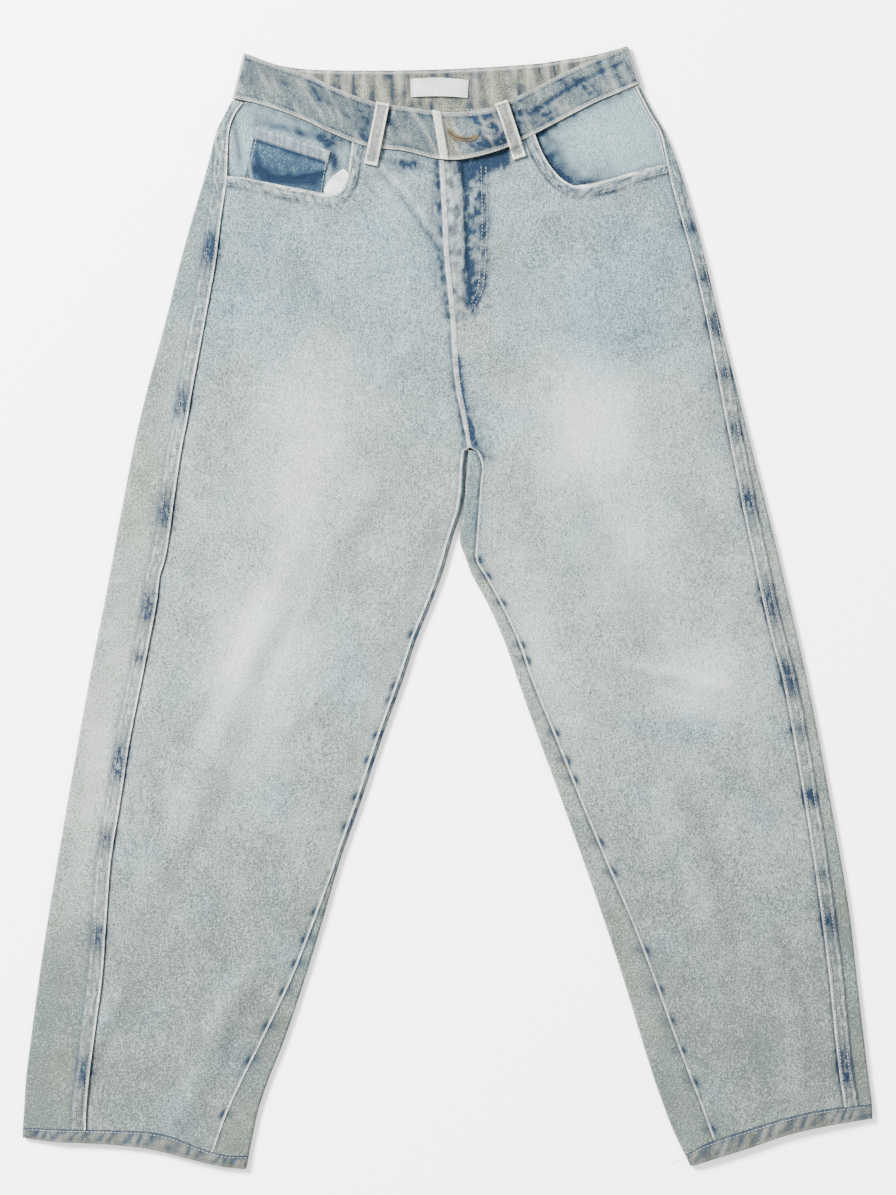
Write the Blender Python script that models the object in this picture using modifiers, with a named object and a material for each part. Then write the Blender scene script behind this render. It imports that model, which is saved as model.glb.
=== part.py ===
"""Wide-leg denim jeans laid flat on a table, front up, waist towards +Y.

Metres, +Z up. The origin is on the table, under the middle of the jeans. Each piece of cloth is a
wall between an inner and an outer face, worked out from the tables below. Lengths in the tables
and functions are millimetres, and the wall is scaled to metres when its mesh is made. Right and
left are the wearer's, so the right leg lies at -X.
"""

import bisect
import math

import bmesh
import bpy

MM = 0.001

# Cloth
DENIM = 1.2  # one layer of denim
FELLED = 2.4  # side seam allowance, turned back and topstitched
FELL_WIDTH = 12.0
BAND = 2.2  # the waistband's two layers
HEM = 2.4  # turned hem
POCKETING = 0.8
FACING = 1.0
GAP = 0.3  # between two pieces at a seam
SEAM_ROOM = 0.8  # between pieces whose sides follow a curved seam in unlike steps

# Heights over the table
ROLL = 1.2  # inner radius where the back panel rolls over a leg's edge
TOP = DENIM + 2 * ROLL  # inner face of the upper layer, where it leaves the roll
BAND_ROLL = (TOP - BAND) / 2
HEM_ROLL = 0.4
HEM_TOP = HEM + 2 * HEM_ROLL
LOFT = 1.3  # how far the upper layer stands up in the middle of a leg
LOFT_REACH = 40.0
INSEAM_IN = 3.5  # least distance from a leg's inner edge to the inseam on top of it

# Rows of the leg panels
CROTCH = 148.0
BELOW_CROTCH = 145.0
FLOOR_CELLS = 7
LEG_ROWS = 20
HIP_ROWS = 8
POCKET_ROWS = 8
HEM_FADE = 160.0  # rows bend to the hem's line over this height
YOKE_FADE = 150.0
HEM_WAVES = 18
HEM_ROPE = 0.7
FLY_MID = 350.0  # where the row that ends at the pocket's lower corner meets the front seam

# Front seam and fly
FLY_LOW = 272.0
FLY_WIDTH = 17.0
FLY_RISE = 1.2
SHIELD_LOW = 292.0
SHIELD_HIGH = 407.0
SHIELD_OVER = 26.0
SHIELD_UNDER = 12.0

# Pockets
MOUTH_RISE = 1.9  # the turned edge of a pocket mouth stands over the facing
MOUTH_REACH = 32.0
FACING_SINK = 1.2
SINK_REACH = 24.0

# Waistband
OVERLAP_RISE = 2.6
OVERLAP_END = 55.0
BUTTON_AT = (41.0, 440.0)
BUTTON_RADIUS = 8.5
BUTTON_HIGH = 2.0
BUTTON_BULGE = 2.4
GATHER = 0.9
GATHER_WIDTH = 17.0
BAND_ROWS = 4

# Belt loops
LOOP_WIDTH = 12.0
LOOP_THICK = 1.7
LOOP_ROWS = 12

# Label
LABEL_THICK = 0.8
LABEL_GATHER = 0.12  # share of the gathers left under the label


def table(names, *rows):
    return [dict(zip(names.split(), row)) for row in rows]


# Silhouette and seams of each leg. Above the crotch the last two columns are the front seam and
# the back seam, and below it the inseam and the leg's inner edge.
RIGHT_LEG = table(
    "y outer side inseam inner",
    (482, -193, -181, -6.3, -9.0),
    (469, -198.5, -185.5, -6.3, -8.6),
    (454, -206, -195.7, -6.3, -8.2),
    (440, -212.8, -200.7, -6.3, -7.0),
    (421, -217.6, -202, -6.0, -5.4),
    (394, -224.8, -203.2, -4.3, -2.9),
    (357, -235.8, -208.5, -2.3, 0.3),
    (320, -246, -213, -0.3, 3.6),
    (265, -259.7, -222.8, 5.2, 8.5),
    (210, -274.6, -233, 8.8, 13.4),
    (173, -283.7, -239.2, 15.8, 16.7),
    (148, -289.4, -244.2, 20.6, 18.8),
    (131, -292.7, -246.9, 17.2, 17.2),
    (95, -299.5, -252.1, 14.2, 14.2),
    (63, -305.5, -256.4, 4.4, 4.4),
    (44, -308.9, -260, -0.8, -0.8),
    (30, -311.5, -264.3, -5.2, -5.2),
    (7, -315.8, -267.1, -13.8, -13.8),
    (-29, -322.9, -273.8, -28.4, -28.4),
    (-66, -330.1, -281, -40.7, -40.7),
    (-121, -340, -291.9, -60.6, -60.6),
    (-177, -349.9, -300.6, -80.5, -79.1),
    (-232, -359.3, -309.4, -101.5, -98.5),
    (-287, -368.3, -313.7, -122, -114.6),
    (-342, -376.6, -317.8, -143.6, -131.4),
    (-397, -383.9, -324.9, -169.9, -149.9),
    (-434, -388.5, -329.5, -188.4, -164.6),
    (-462, -390.2, -332.2, -201.5, -174),
    (-480, -391.3, -332.5, -208.3, -178.1),
    (-505, -391.3, -332.6, -217, -183),
)
LEFT_LEG = table(
    "y outer side inseam inner",
    (488, 174.5, 169.5, -6.3, -9.0),
    (469, 183.3, 178.3, -6.3, -8.6),
    (454, 191.5, 186.3, -6.3, -8.2),
    (440, 199.8, 194.6, -6.3, -7.0),
    (421, 208, 199.9, -6.0, -5.4),
    (394, 217.5, 205.5, -4.3, -2.9),
    (357, 228.3, 215.9, -2.3, 0.3),
    (320, 238, 226.1, -0.3, 3.6),
    (265, 250.9, 238.8, 5.2, 8.5),
    (210, 264.7, 249.5, 8.8, 13.4),
    (173, 273.9, 256.4, 15.8, 16.7),
    (148, 280.2, 261.2, 20.6, 18.8),
    (145, 280.9, 261.9, 26.5, 19.0),
    (131, 284.2, 264.6, 31.8, 18.1),
    (116, 288.1, 267.8, 30.6, 16.7),
    (95, 293.4, 271.5, 29.1, 15.3),
    (63, 301.5, 278.3, 26.7, 11.5),
    (44, 306.1, 282.5, 26.4, 17.7),
    (30, 309.3, 285.4, 34.5, 22.9),
    (7, 314.7, 290.3, 47.3, 35.6),
    (-29, 323.1, 298.8, 64.4, 51.9),
    (-66, 331.4, 308.8, 77.5, 64.8),
    (-121, 342.5, 319.1, 100, 84.4),
    (-177, 352.9, 328.6, 122.4, 105.1),
    (-232, 362.8, 337.2, 145.4, 124.9),
    (-287, 371.5, 344.9, 169, 144.1),
    (-342, 377.6, 351.7, 190.3, 162.2),
    (-397, 384, 357.2, 209.9, 178.8),
    (-434, 388.4, 361.5, 224, 190.4),
    (-457, 391.3, 365, 233, 198.5),
    (-480, 391.6, 365.9, 241.3, 207.2),
    (-505, 391.6, 366, 250, 219),
)

# Stitch line and lower edge of each hem
RIGHT_HEM = table(
    "x stitch edge",
    (-392, -478.6, -487.5),
    (-363, -479.5, -491.3),
    (-332, -480.2, -492.7),
    (-306, -480.8, -494.3),
    (-277, -482, -497.7),
    (-255, -486, -502.3),
    (-231, -495.6, -508.8),
    (-207, -503.4, -514.3),
    (-183, -504.6, -517),
)
LEFT_HEM = table(
    "x stitch edge",
    (219, -504, -516),
    (239, -492.8, -509.5),
    (276, -480.2, -498),
    (309, -470.1, -486.5),
    (346, -461.8, -477.5),
    (392, -456.8, -470),
)

# Waist seam across the front and across the back, and the back yokes' lower seam
WAIST = table(
    "x front back",
    (-199, 469.2, 469),
    (-172, 463.7, 462.5),
    (-135.5, 450.8, 458),
    (-108, 437.9, 456.5),
    (-75.7, 425.5, 456),
    (-39, 420.6, 455.8),
    (-9.5, 413.6, 455.8),
    (11.7, 412.6, 456),
    (48.5, 421.4, 457.5),
    (76, 434.2, 459.5),
    (113, 453.6, 464),
    (140.5, 467.4, 470),
    (178, 482.2, 482),
)
YOKE = table(
    "x seam",
    (-222, 435),
    (-160, 421),
    (-80, 400),
    (0, 385),
    (80, 400),
    (150, 421),
    (204, 435),
)

# Edge of each pocket mouth, from the side seam to the waist seam
RIGHT_MOUTH = table(
    "x y",
    (-203, 397.5),
    (-186, 395.6),
    (-168.6, 391.9),
    (-145.6, 386),
    (-117, 380.6),
    (-109, 379.6),
    (-100.6, 382.3),
    (-94.6, 389.5),
    (-91.5, 399.3),
    (-90, 410),
    (-88.5, 420),
    (-87.5, 429),
)
LEFT_MOUTH = table(
    "x y",
    (202.5, 409),
    (183.4, 404.4),
    (165.9, 398.5),
    (148.2, 392.1),
    (130.4, 388.2),
    (118.9, 387.8),
    (110, 391.4),
    (101.3, 398.5),
    (91.7, 411),
    (85, 424),
    (80.5, 436),
)

# Cloth inside each mouth: its lower edge, under the front panel, and its upper edge
RIGHT_FACING = table(
    "low_x low_y high_x high_y",
    (-202.4, 394, -185, 467),
    (-186, 391, -168, 462),
    (-160, 385.5, -150, 456),
    (-130, 379, -130, 448.5),
    (-107, 375, -112, 440),
    (-94, 380, -99, 434),
    (-87, 392, -91, 430.8),
    (-83.5, 412, -84, 427.8),
)
LEFT_FACING = table(
    "low_x low_y high_x high_y",
    (202.6, 405.5, 177.4, 481.4),
    (184, 400.3, 163, 476.5),
    (160, 391.5, 143, 468),
    (135, 384.8, 124, 459),
    (116, 383.2, 107, 450),
    (100, 393.5, 94, 443.2),
    (85, 412, 83, 437.4),
    (77, 428, 76.5, 433.8),
)
COIN_POCKET = table(
    "low_x low_y high_x high_y",
    (-187.5, 391.5, -176, 442.5),
    (-164, 387, -153, 435),
    (-141, 381.3, -130, 427.5),
    (-117.5, 377, -108, 420.4),
)
POCKET_BAG = table(
    "low_x low_y high_x high_y",
    (-113.6, 376.4, -113.4, 386.5),
    (-107, 375.8, -109.5, 392.5),
    (-99, 378, -104.5, 398),
    (-92, 387, -99.5, 402),
    (-89.6, 399, -95.5, 404.5),
)

# The waistband, folded at both sides. Its right end lies under its left end.
BAND_RIGHT = table(
    "seam_x seam_y top_x top_y",
    (55, 424.5, 44, 461),
    (11.7, 412.6, 6, 455.8),
    (-9.5, 413.6, -12, 457.2),
    (-39, 420.6, -33, 460.3),
    (-75.7, 425.5, -67, 465.5),
    (-108, 437.9, -98.7, 476.6),
    (-135.5, 450.8, -127, 489.5),
    (-172, 463.7, -163, 502),
    (-198.5, 469.2, -188.4, 510.6),
)
BAND_BACK = table(
    "seam_x seam_y top_x top_y",
    (-198.5, 469.2, -188.4, 510.6),
    (-172, 462.5, -168, 503.5),
    (-135, 458, -133, 497),
    (-76, 456, -75, 495.4),
    (0, 456, 0, 496.8),
    (76, 459.5, 74, 501),
    (113, 464, 108, 505.5),
    (140.5, 470, 134, 509.5),
    (178.3, 482, 166.9, 517),
)
BAND_LEFT = table(
    "seam_x seam_y top_x top_y",
    (178.3, 482, 166.9, 517),
    (140.5, 467.4, 128.5, 502.5),
    (113, 453.6, 100, 489),
    (76, 434.2, 62, 469),
    (48.5, 421.4, 38, 458),
    (11.7, 412.6, 5, 455.6),
    (-6.5, 413.2, -14, 457.6),
)

BELT_LOOPS = table(
    "side top_x top_y low_x low_y",
    ("right", -59.2, 464.5, -70.6, 407.6),
    ("left", 49.4, 465, 66.4, 414),
)
LABEL = table(
    "low_x low_y high_x high_y",
    (-33.4, 470.9, -33.9, 487.6),
    (-7, 471.6, -6.8, 488.4),
    (18.6, 470.2, 19.4, 486.4),
)

# The largest folds of the upper layer: a soft ridge from one point to another
FOLDS = table(
    "x1 y1 x2 y2 width height",
    (-135, 53, -273, -268, 26, 2.2),
    (-60, 120, -150, -20, 22, 1.2),
    (-67, 403, -10, 332, 10, 1.0),
    (-126, -98, -108, -121, 9, 0.9),
    (-180, -330, -245, -470, 20, 1.6),
    (-300, -350, -350, -470, 14, 1.1),
    (-180, 330, -90, 250, 20, 1.2),
    (60, 300, 150, 220, 20, 1.2),
    (104, 118, 177, -29, 26, 1.6),
    (159, -48, 269, -85, 12, 1.2),
    (205, -150, 255, -330, 24, 1.8),
    (300, -300, 330, -440, 18, 1.4),
)


def smooth(share):
    share = min(max(share, 0.0), 1.0)
    return share * share * (3 - 2 * share)


def mix(a, b, share):
    return a + (b - a) * share


def spline(keys, values):
    """A smooth curve through the values, going straight on past both ends."""
    last = len(keys) - 1
    slopes = []
    for i in range(last + 1):
        low = max(i - 1, 0)
        high = min(i + 1, last)
        slopes.append((values[high] - values[low]) / (keys[high] - keys[low]))

    def at(key):
        if key <= keys[0]:
            return values[0] + slopes[0] * (key - keys[0])
        if key >= keys[last]:
            return values[last] + slopes[last] * (key - keys[last])
        i = bisect.bisect_right(keys, key) - 1
        step = keys[i + 1] - keys[i]
        t = (key - keys[i]) / step
        ease = smooth(t)
        lead = slopes[i] * t * (1 - t) ** 2
        trail = slopes[i + 1] * (t - 1) * t * t
        return mix(values[i], values[i + 1], ease) + step * (lead + trail)

    return at


def curve(rows, key, value):
    """One column of a table as a smooth function of another."""
    ordered = sorted(rows, key=lambda row: row[key])
    return spline([row[key] for row in ordered], [row[value] for row in ordered])


def route(rows, columns):
    """A smooth path through a table's rows, for shares from 0 to 1 of its row count."""
    keys = list(range(len(rows)))
    parts = [spline(keys, [row[name] for row in rows]) for name in columns.split()]

    def at(share):
        return [part(share * keys[-1]) for part in parts]

    return at


class Leg:
    """One leg: its silhouette and seams as functions of y, and its hem as functions of x."""

    def __init__(self, name, out, rows, hem, mouth):
        self.name = name
        self.out = out
        self.outer = curve(rows, "y", "outer")
        self.side = curve(rows, "y", "side")
        self.inner = curve(rows, "y", "inner")
        self.inseam_line = curve(rows, "y", "inseam")
        self.stitch = curve(hem, "x", "stitch")
        self.edge = curve(hem, "x", "edge")
        self.hem_level = self.stitch(hem[0]["x"] if out < 0 else hem[-1]["x"])
        self.mouth = route(mouth, "x y")
        self.mouth_points = [self.mouth(i / 60) for i in range(61)]
        self.mouth_low = mouth[0]["y"]

    def inseam(self, y):
        """The inseam, which always lies a little way in from the leg's inner edge."""
        if y >= CROTCH:
            return self.inseam_line(y)
        least = self.inner(y) * self.out + INSEAM_IN
        return self.out * max(self.inseam_line(y) * self.out, least)


LEGS = (
    Leg("right", -1, RIGHT_LEG, RIGHT_HEM, RIGHT_MOUTH),
    Leg("left", 1, LEFT_LEG, LEFT_HEM, LEFT_MOUTH),
)
waist = curve(WAIST, "x", "front")
back_waist = curve(WAIST, "x", "back")
yoke_seam = curve(YOKE, "x", "seam")


def meet(line, row):
    """Where a line x(y) crosses a row y(x)."""
    y = row(line(0))
    for _ in range(8):
        y = row(line(y))
    return line(y)


def hem_row(leg, level):
    """A row across the leg that bends to the hem's stitch line as it comes near it."""
    share = 1 - smooth((level - leg.hem_level) / HEM_FADE)
    return lambda x: level + share * (leg.stitch(x) - leg.hem_level)


def yoke_row(level):
    """A row across the hip that bends to the yoke seam as it comes near it."""
    top = yoke_seam(YOKE[0]["x"])
    share = smooth((level - top + YOKE_FADE) / YOKE_FADE)
    return lambda x: level + share * (yoke_seam(x) - GAP - top)


def leg_levels(leg):
    return [mix(leg.hem_level, BELOW_CROTCH, i / LEG_ROWS) for i in range(LEG_ROWS + 1)]


def hip_levels(leg):
    return [mix(CROTCH, leg.mouth_low, i / HIP_ROWS) for i in range(HIP_ROWS + 1)]


def fold_height(x, y):
    """Height of the soft ridges at a point."""
    total = 0.0
    for fold in FOLDS:
        run_x = fold["x2"] - fold["x1"]
        run_y = fold["y2"] - fold["y1"]
        length = math.hypot(run_x, run_y)
        along = ((x - fold["x1"]) * run_x + (y - fold["y1"]) * run_y) / length**2
        away = abs((x - fold["x1"]) * run_y - (y - fold["y1"]) * run_x) / length
        if -0.2 < along < 1.2 and away < fold["width"]:
            ends = smooth((along + 0.2) / 0.4) * smooth((1.2 - along) / 0.4)
            total += fold["height"] * ends * (1 - smooth(away / fold["width"]))
    return total


def lift(leg, x, y):
    """How far the upper layer stands over its height at the rolls."""
    from_outer = (leg.outer(y) - x) * leg.out - ROLL - DENIM
    from_inner = (x - leg.inner(y)) * leg.out - ROLL - DENIM + max(0.0, y - 60) * 0.9
    nearest = min(from_outer, from_inner)
    loft = LOFT * smooth(from_outer / LOFT_REACH) * smooth(from_inner / LOFT_REACH)
    return loft + fold_height(x, y) * smooth(nearest / 20)


def mouth_distance(leg, x, y):
    return min(math.hypot(x - px, y - py) for px, py in leg.mouth_points)


def front_height(leg, x, y):
    """Inner face of a front panel, with the raised fly on the left one."""
    height = TOP + lift(leg, x, y)
    height += MOUTH_RISE * (1 - smooth(mouth_distance(leg, x, y) / MOUTH_REACH))
    if leg.out > 0:
        from_seam = x - leg.inseam_line(y)
        fly = 1 - smooth((from_seam - FLY_WIDTH) / 3)
        height += FLY_RISE * fly * smooth((y - FLY_LOW) / 10)
    return height


def facing_height(leg, x, y):
    """Inner face of the cloth inside a pocket mouth, which sinks under the mouth's edge."""
    sink = FACING_SINK * (1 - smooth(mouth_distance(leg, x, y) / SINK_REACH))
    return TOP + lift(leg, x, y) - sink


def band_height(x, y, left):
    """Inner face of the waistband's front, raised where its left end lies over the right."""
    from_fold = min(x - BAND_BACK[0]["seam_x"], BAND_BACK[-1]["seam_x"] - x)
    height = TOP + LOFT * smooth(from_fold / LOFT_REACH)
    if left:
        height += OVERLAP_RISE * (1 - smooth((x - OVERLAP_END) / 40))
        from_button = math.hypot(x - BUTTON_AT[0], y - BUTTON_AT[1])
        height += BUTTON_BULGE * (1 - smooth((from_button - 11) / 9))
    return height


def wall(name, inner, outer, closed=False):
    """A closed solid between two grids of points. A missing point leaves its cells out."""
    mesh = bmesh.new()
    faces = []
    for grid in (inner, outer):
        made = []
        for row in grid:
            made.append([mesh.verts.new([c * MM for c in p]) if p else None for p in row])
        faces.append(made)
    lower, upper = faces
    rows = len(inner)
    columns = len(inner[0])
    rim = {}
    for i in range(rows - 1):
        for j in range(columns if closed else columns - 1):
            k = (j + 1) % columns
            corners = ((i, j), (i, k), (i + 1, k), (i + 1, j))
            if any(inner[a][b] is None for a, b in corners):
                continue
            mesh.faces.new([upper[a][b] for a, b in corners])
            mesh.faces.new([lower[a][b] for a, b in reversed(corners)])
            for start, end in zip(corners, corners[1:] + corners[:1]):
                if (end, start) in rim:
                    del rim[(end, start)]
                else:
                    rim[(start, end)] = True
    for start, end in rim:
        ends = (upper[end[0]][end[1]], upper[start[0]][start[1]])
        mesh.faces.new(ends + (lower[start[0]][start[1]], lower[end[0]][end[1]]))
    loose = [v for v in mesh.verts if not v.link_faces]
    bmesh.ops.delete(mesh, geom=loose, context="VERTS")
    bmesh.ops.recalc_face_normals(mesh, faces=mesh.faces)
    data = bpy.data.meshes.new(name)
    mesh.to_mesh(data)
    mesh.free()
    return add_object(name, data)


def add_object(name, data):
    piece = bpy.data.objects.new(name, data)
    COLLECTION.objects.link(piece)
    data.shade_smooth()
    data.set_sharp_from_angle(angle=math.radians(40))
    return piece


def sheet(name, points, height, thickness):
    """A wall over a grid of plan points, its inner face at height(x, y)."""
    inner = [[(x, y, height(x, y)) for x, y in row] for row in points]
    outer = [[(x, y, z + thickness) for x, y, z in row] for row in inner]
    return wall(name, inner, outer)


def patch(rows, across, up):
    """Plan points between the lower and the upper edge that a table gives."""
    edges = route(rows, "low_x low_y high_x high_y")
    grid = []
    for i in range(up + 1):
        row = []
        for j in range(across + 1):
            low_x, low_y, high_x, high_y = edges(j / across)
            row.append((mix(low_x, high_x, i / up), mix(low_y, high_y, i / up)))
        grid.append(row)
    return grid


def roll(center_x, center_z, inner_radius, thickness, out):
    """The three columns that turn from the upper layer to the lower one, or back."""
    columns = []
    for degrees in (45, 90, 135):
        side = math.sin(math.radians(degrees)) * out
        up = math.cos(math.radians(degrees))
        near = (center_x + side * inner_radius, center_z + up * inner_radius)
        radius = inner_radius + thickness
        columns.append((near, (center_x + side * radius, center_z + up * radius)))
    return columns


def flat_columns(start, end, cells, low, high):
    """Columns of a flat stretch, both ends included."""
    spots = [mix(start, end, i / cells) for i in range(cells + 1)]
    return [((x, high), (x, low)) for x in spots]


def side_strip(leg, row):
    """Columns of the back panel on top of the leg, from the side seam to the outer roll."""
    out = leg.out
    seam = meet(leg.side, row) + out * GAP / 2
    start = meet(leg.outer, row) - out * (ROLL + DENIM)
    width = (start - seam) * out
    felled = min(FELL_WIDTH, 0.7 * width)
    step = min(1.5, 0.15 * width)
    spots = [
        (seam, FELLED),
        (seam + out * felled, FELLED),
        (seam + out * (felled + step), DENIM),
        (mix(seam + out * (felled + step), start, 0.5), DENIM),
        (start, DENIM),
    ]
    columns = []
    for x, thickness in spots:
        z = TOP + lift(leg, x, row(x))
        columns.append(((x, z), (x, z + thickness)))
    return columns


def back_columns(leg, row, below_crotch):
    """Section of a back panel: side seam, outer roll, table and, on the leg, the inseam."""
    out = leg.out
    start = meet(leg.outer, row) - out * (ROLL + DENIM)
    columns = side_strip(leg, row)
    columns += roll(start, DENIM + ROLL, ROLL, DENIM, out)
    if not below_crotch:
        middle = meet(leg.inner, row) + out * GAP / 2
        columns += flat_columns(start, middle, FLOOR_CELLS, 0.0, DENIM)
        return columns + [None] * 6
    inner_edge = meet(leg.inner, row)
    stop = inner_edge + out * (ROLL + DENIM)
    inseam = meet(leg.inseam, row) - out * GAP / 2
    columns += flat_columns(start, stop, FLOOR_CELLS, 0.0, DENIM)
    columns += reversed(roll(stop, DENIM + ROLL, ROLL, DENIM, -out))
    for share in (0.0, 0.5, 1.0):
        x = mix(stop, inseam, share)
        z = TOP + lift(leg, x, row(x))
        columns.append(((x, z), (x, z + DENIM)))
    return columns


def section_wall(name, sections):
    """A wall through sections in x and z, each with the row y(x) that it stands on."""
    inner = []
    outer = []
    for row, columns in sections:
        inner.append([(c[0][0], row(c[0][0]), c[0][1]) if c else None for c in columns])
        outer.append([(c[1][0], row(c[1][0]), c[1][1]) if c else None for c in columns])
    return wall(name, inner, outer)


def make_back(leg):
    """Back panel: on the table, rolled over the outer edge up to the side seam."""
    sections = []
    for level in leg_levels(leg):
        row = hem_row(leg, level)
        sections.append((row, back_columns(leg, row, True)))
    top = yoke_seam(YOKE[0]["x"])
    levels = hip_levels(leg)
    levels += [mix(leg.mouth_low, top, i / 2) for i in (1, 2)]
    for level in levels:
        row = yoke_row(level)
        sections.append((row, back_columns(leg, row, False)))
    return section_wall("back_" + leg.name, sections)


def make_yoke(leg):
    """Back yoke: between the back panel and the waistband, rolled over the side."""
    sections = []
    for i in range(4):
        share = i / 3

        def row(x, share=share):
            low = yoke_seam(x)
            return mix(low, back_waist(x) - SEAM_ROOM, share)

        sections.append((row, back_columns(leg, row, False)))
    return section_wall("yoke_" + leg.name, sections)


def front_spots(leg, side_x, inner_x):
    """Columns of a front panel, closer together beside the front seam."""
    near = (0.0, 8.0, 16.5, 20.5, 26.0)
    width = (side_x - inner_x) * leg.out
    spots = [inner_x + leg.out * distance for distance in near]
    rest = 9
    spots += [mix(spots[4], side_x, i / rest) for i in range(1, rest + 1)]
    assert width > near[-1]
    return spots


def front_points(leg):
    """Plan points of a front panel: leg, hip, and the rows that end on the pocket mouth."""
    out = leg.out
    grid = []
    for level in leg_levels(leg):
        row = hem_row(leg, level)
        side_x = meet(leg.side, row) - out * GAP / 2
        inner_x = meet(leg.inseam, row) + out * GAP / 2
        grid.append([(x, row(x)) for x in front_spots(leg, side_x, inner_x)])
    for i, level in enumerate(hip_levels(leg)):
        inner_y = mix(CROTCH, FLY_MID, i / HIP_ROWS)
        side_x = leg.side(level) - out * GAP / 2
        inner_x = leg.inseam_line(inner_y) + out * GAP / 2
        row = []
        for x in front_spots(leg, side_x, inner_x):
            row.append((x, mix(inner_y, level, (x - inner_x) / (side_x - inner_x))))
        grid.append(row)
    for i in range(1, POCKET_ROWS + 1):
        share = i / POCKET_ROWS
        grid.append(pocket_row(leg, share))
    return grid


def pocket_row(leg, share):
    """A row from the pocket mouth's edge to the front seam, bent to the waist seam at the top."""
    side_x, side_y = leg.mouth(share)
    front_top = waist(leg.inseam_line(WAIST[6]["front"])) - SEAM_ROOM
    inner_y = mix(FLY_MID, front_top, share)
    inner_x = leg.inseam_line(inner_y) + leg.out * GAP / 2
    mouth_top = leg.mouth(1.0)
    side_y += share**4 * (waist(mouth_top[0]) - SEAM_ROOM - mouth_top[1])
    row = []
    for x in front_spots(leg, side_x, inner_x):
        along = (x - inner_x) / (side_x - inner_x)
        chord = mix(waist(inner_x), waist(side_x), along)
        row.append((x, mix(inner_y, side_y, along) + share**3 * (waist(x) - chord)))
    return row


def make_front(leg):
    """Front panel: the whole upper side of the leg, from the inseam to the side seam."""
    return sheet("front_" + leg.name, front_points(leg), lambda x, y: front_height(leg, x, y), DENIM)


def polyline(spots, row):
    """The straight-sided line that a piece's columns make along a row."""
    keys = sorted(spots)

    def at(x):
        i = min(max(bisect.bisect_right(keys, x) - 1, 0), len(keys) - 2)
        share = (x - keys[i]) / (keys[i + 1] - keys[i])
        return mix(row(keys[i]), row(keys[i + 1]), share)

    return at


def hem_lines(leg):
    """Lower edges of the leg's panels, on top of the leg and on the table."""
    out = leg.out
    row = hem_row(leg, leg.hem_level)
    edges = [meet(leg.outer, row), meet(leg.inner, row)]
    side_x = meet(leg.side, row) - out * GAP / 2
    inner_x = meet(leg.inseam, row) + out * GAP / 2
    strip = [column[0][0] for column in side_strip(leg, row)]
    start = edges[0] - out * (ROLL + DENIM)
    stop = edges[1] + out * (ROLL + DENIM)
    inseam = inner_x - out * GAP
    strip += [mix(stop, inseam, share) for share in (0.0, 0.5, 1.0)]
    upper = front_spots(leg, side_x, inner_x) + strip + edges
    floor = [mix(start, stop, i / FLOOR_CELLS) for i in range(FLOOR_CELLS + 1)]
    return polyline(upper, row), polyline(floor + edges, row), floor[1:-1]


def make_hem(leg):
    """Turned hem: a flattened ring under the panels' ends, its upper face roped."""
    out = leg.out
    steps = 3 * HEM_WAVES
    upper_line, floor_line, floor_spots = hem_lines(leg)
    inner = []
    outer = []
    for share, full in ((0.0, 0.2), (0.5, 1.0), (1.0, 0.6)):

        def upper(x, share=share):
            return mix(upper_line(x) - GAP, leg.edge(x), share)

        def floor(x, share=share):
            return mix(floor_line(x) - GAP, leg.edge(x), share)

        outer_x = meet(leg.outer, upper) - out * (HEM_ROLL + HEM)
        inner_x = meet(leg.inner, upper) + out * (HEM_ROLL + HEM)
        columns = []
        for i in range(steps + 1):
            x = mix(inner_x, outer_x, i / steps)
            z = HEM_TOP + lift(leg, x, leg.hem_level) * (0 < i < steps)
            rope = HEM_ROPE * full * math.sin(math.pi * i * HEM_WAVES / steps) ** 2
            columns.append((upper, (x, z), (x, z + HEM + rope)))
        for near, far in roll(outer_x, HEM + HEM_ROLL, HEM_ROLL, HEM, out):
            columns.append((floor, near, far))
        for x in [outer_x] + floor_spots + [inner_x]:
            columns.append((floor, (x, HEM), (x, 0.0)))
        for near, far in reversed(roll(inner_x, HEM + HEM_ROLL, HEM_ROLL, HEM, -out)):
            columns.append((floor, near, far))
        inner.append([(near[0], row(near[0]), near[1]) for row, near, far in columns])
        outer.append([(far[0], row(far[0]), far[1]) for row, near, far in columns])
    return wall("hem_" + leg.name, inner, outer, closed=True)


def gathers(x, y):
    """Height of the back waistband's gathers, lower under the label."""
    wave = math.sin(math.pi * x / GATHER_WIDTH) ** 2
    uneven = 0.65 + 0.35 * math.sin(x * 0.071 + 1.3)
    label_x = (LABEL[0]["low_x"] + LABEL[-1]["low_x"]) / 2
    label_half = (LABEL[-1]["low_x"] - LABEL[0]["low_x"]) / 2
    beside = smooth((abs(x - label_x) - label_half) / 5)
    at_ends = smooth((180 - abs(x + 10)) / 20)
    return GATHER * wave * uneven * mix(LABEL_GATHER, 1.0, beside) * at_ends


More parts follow.
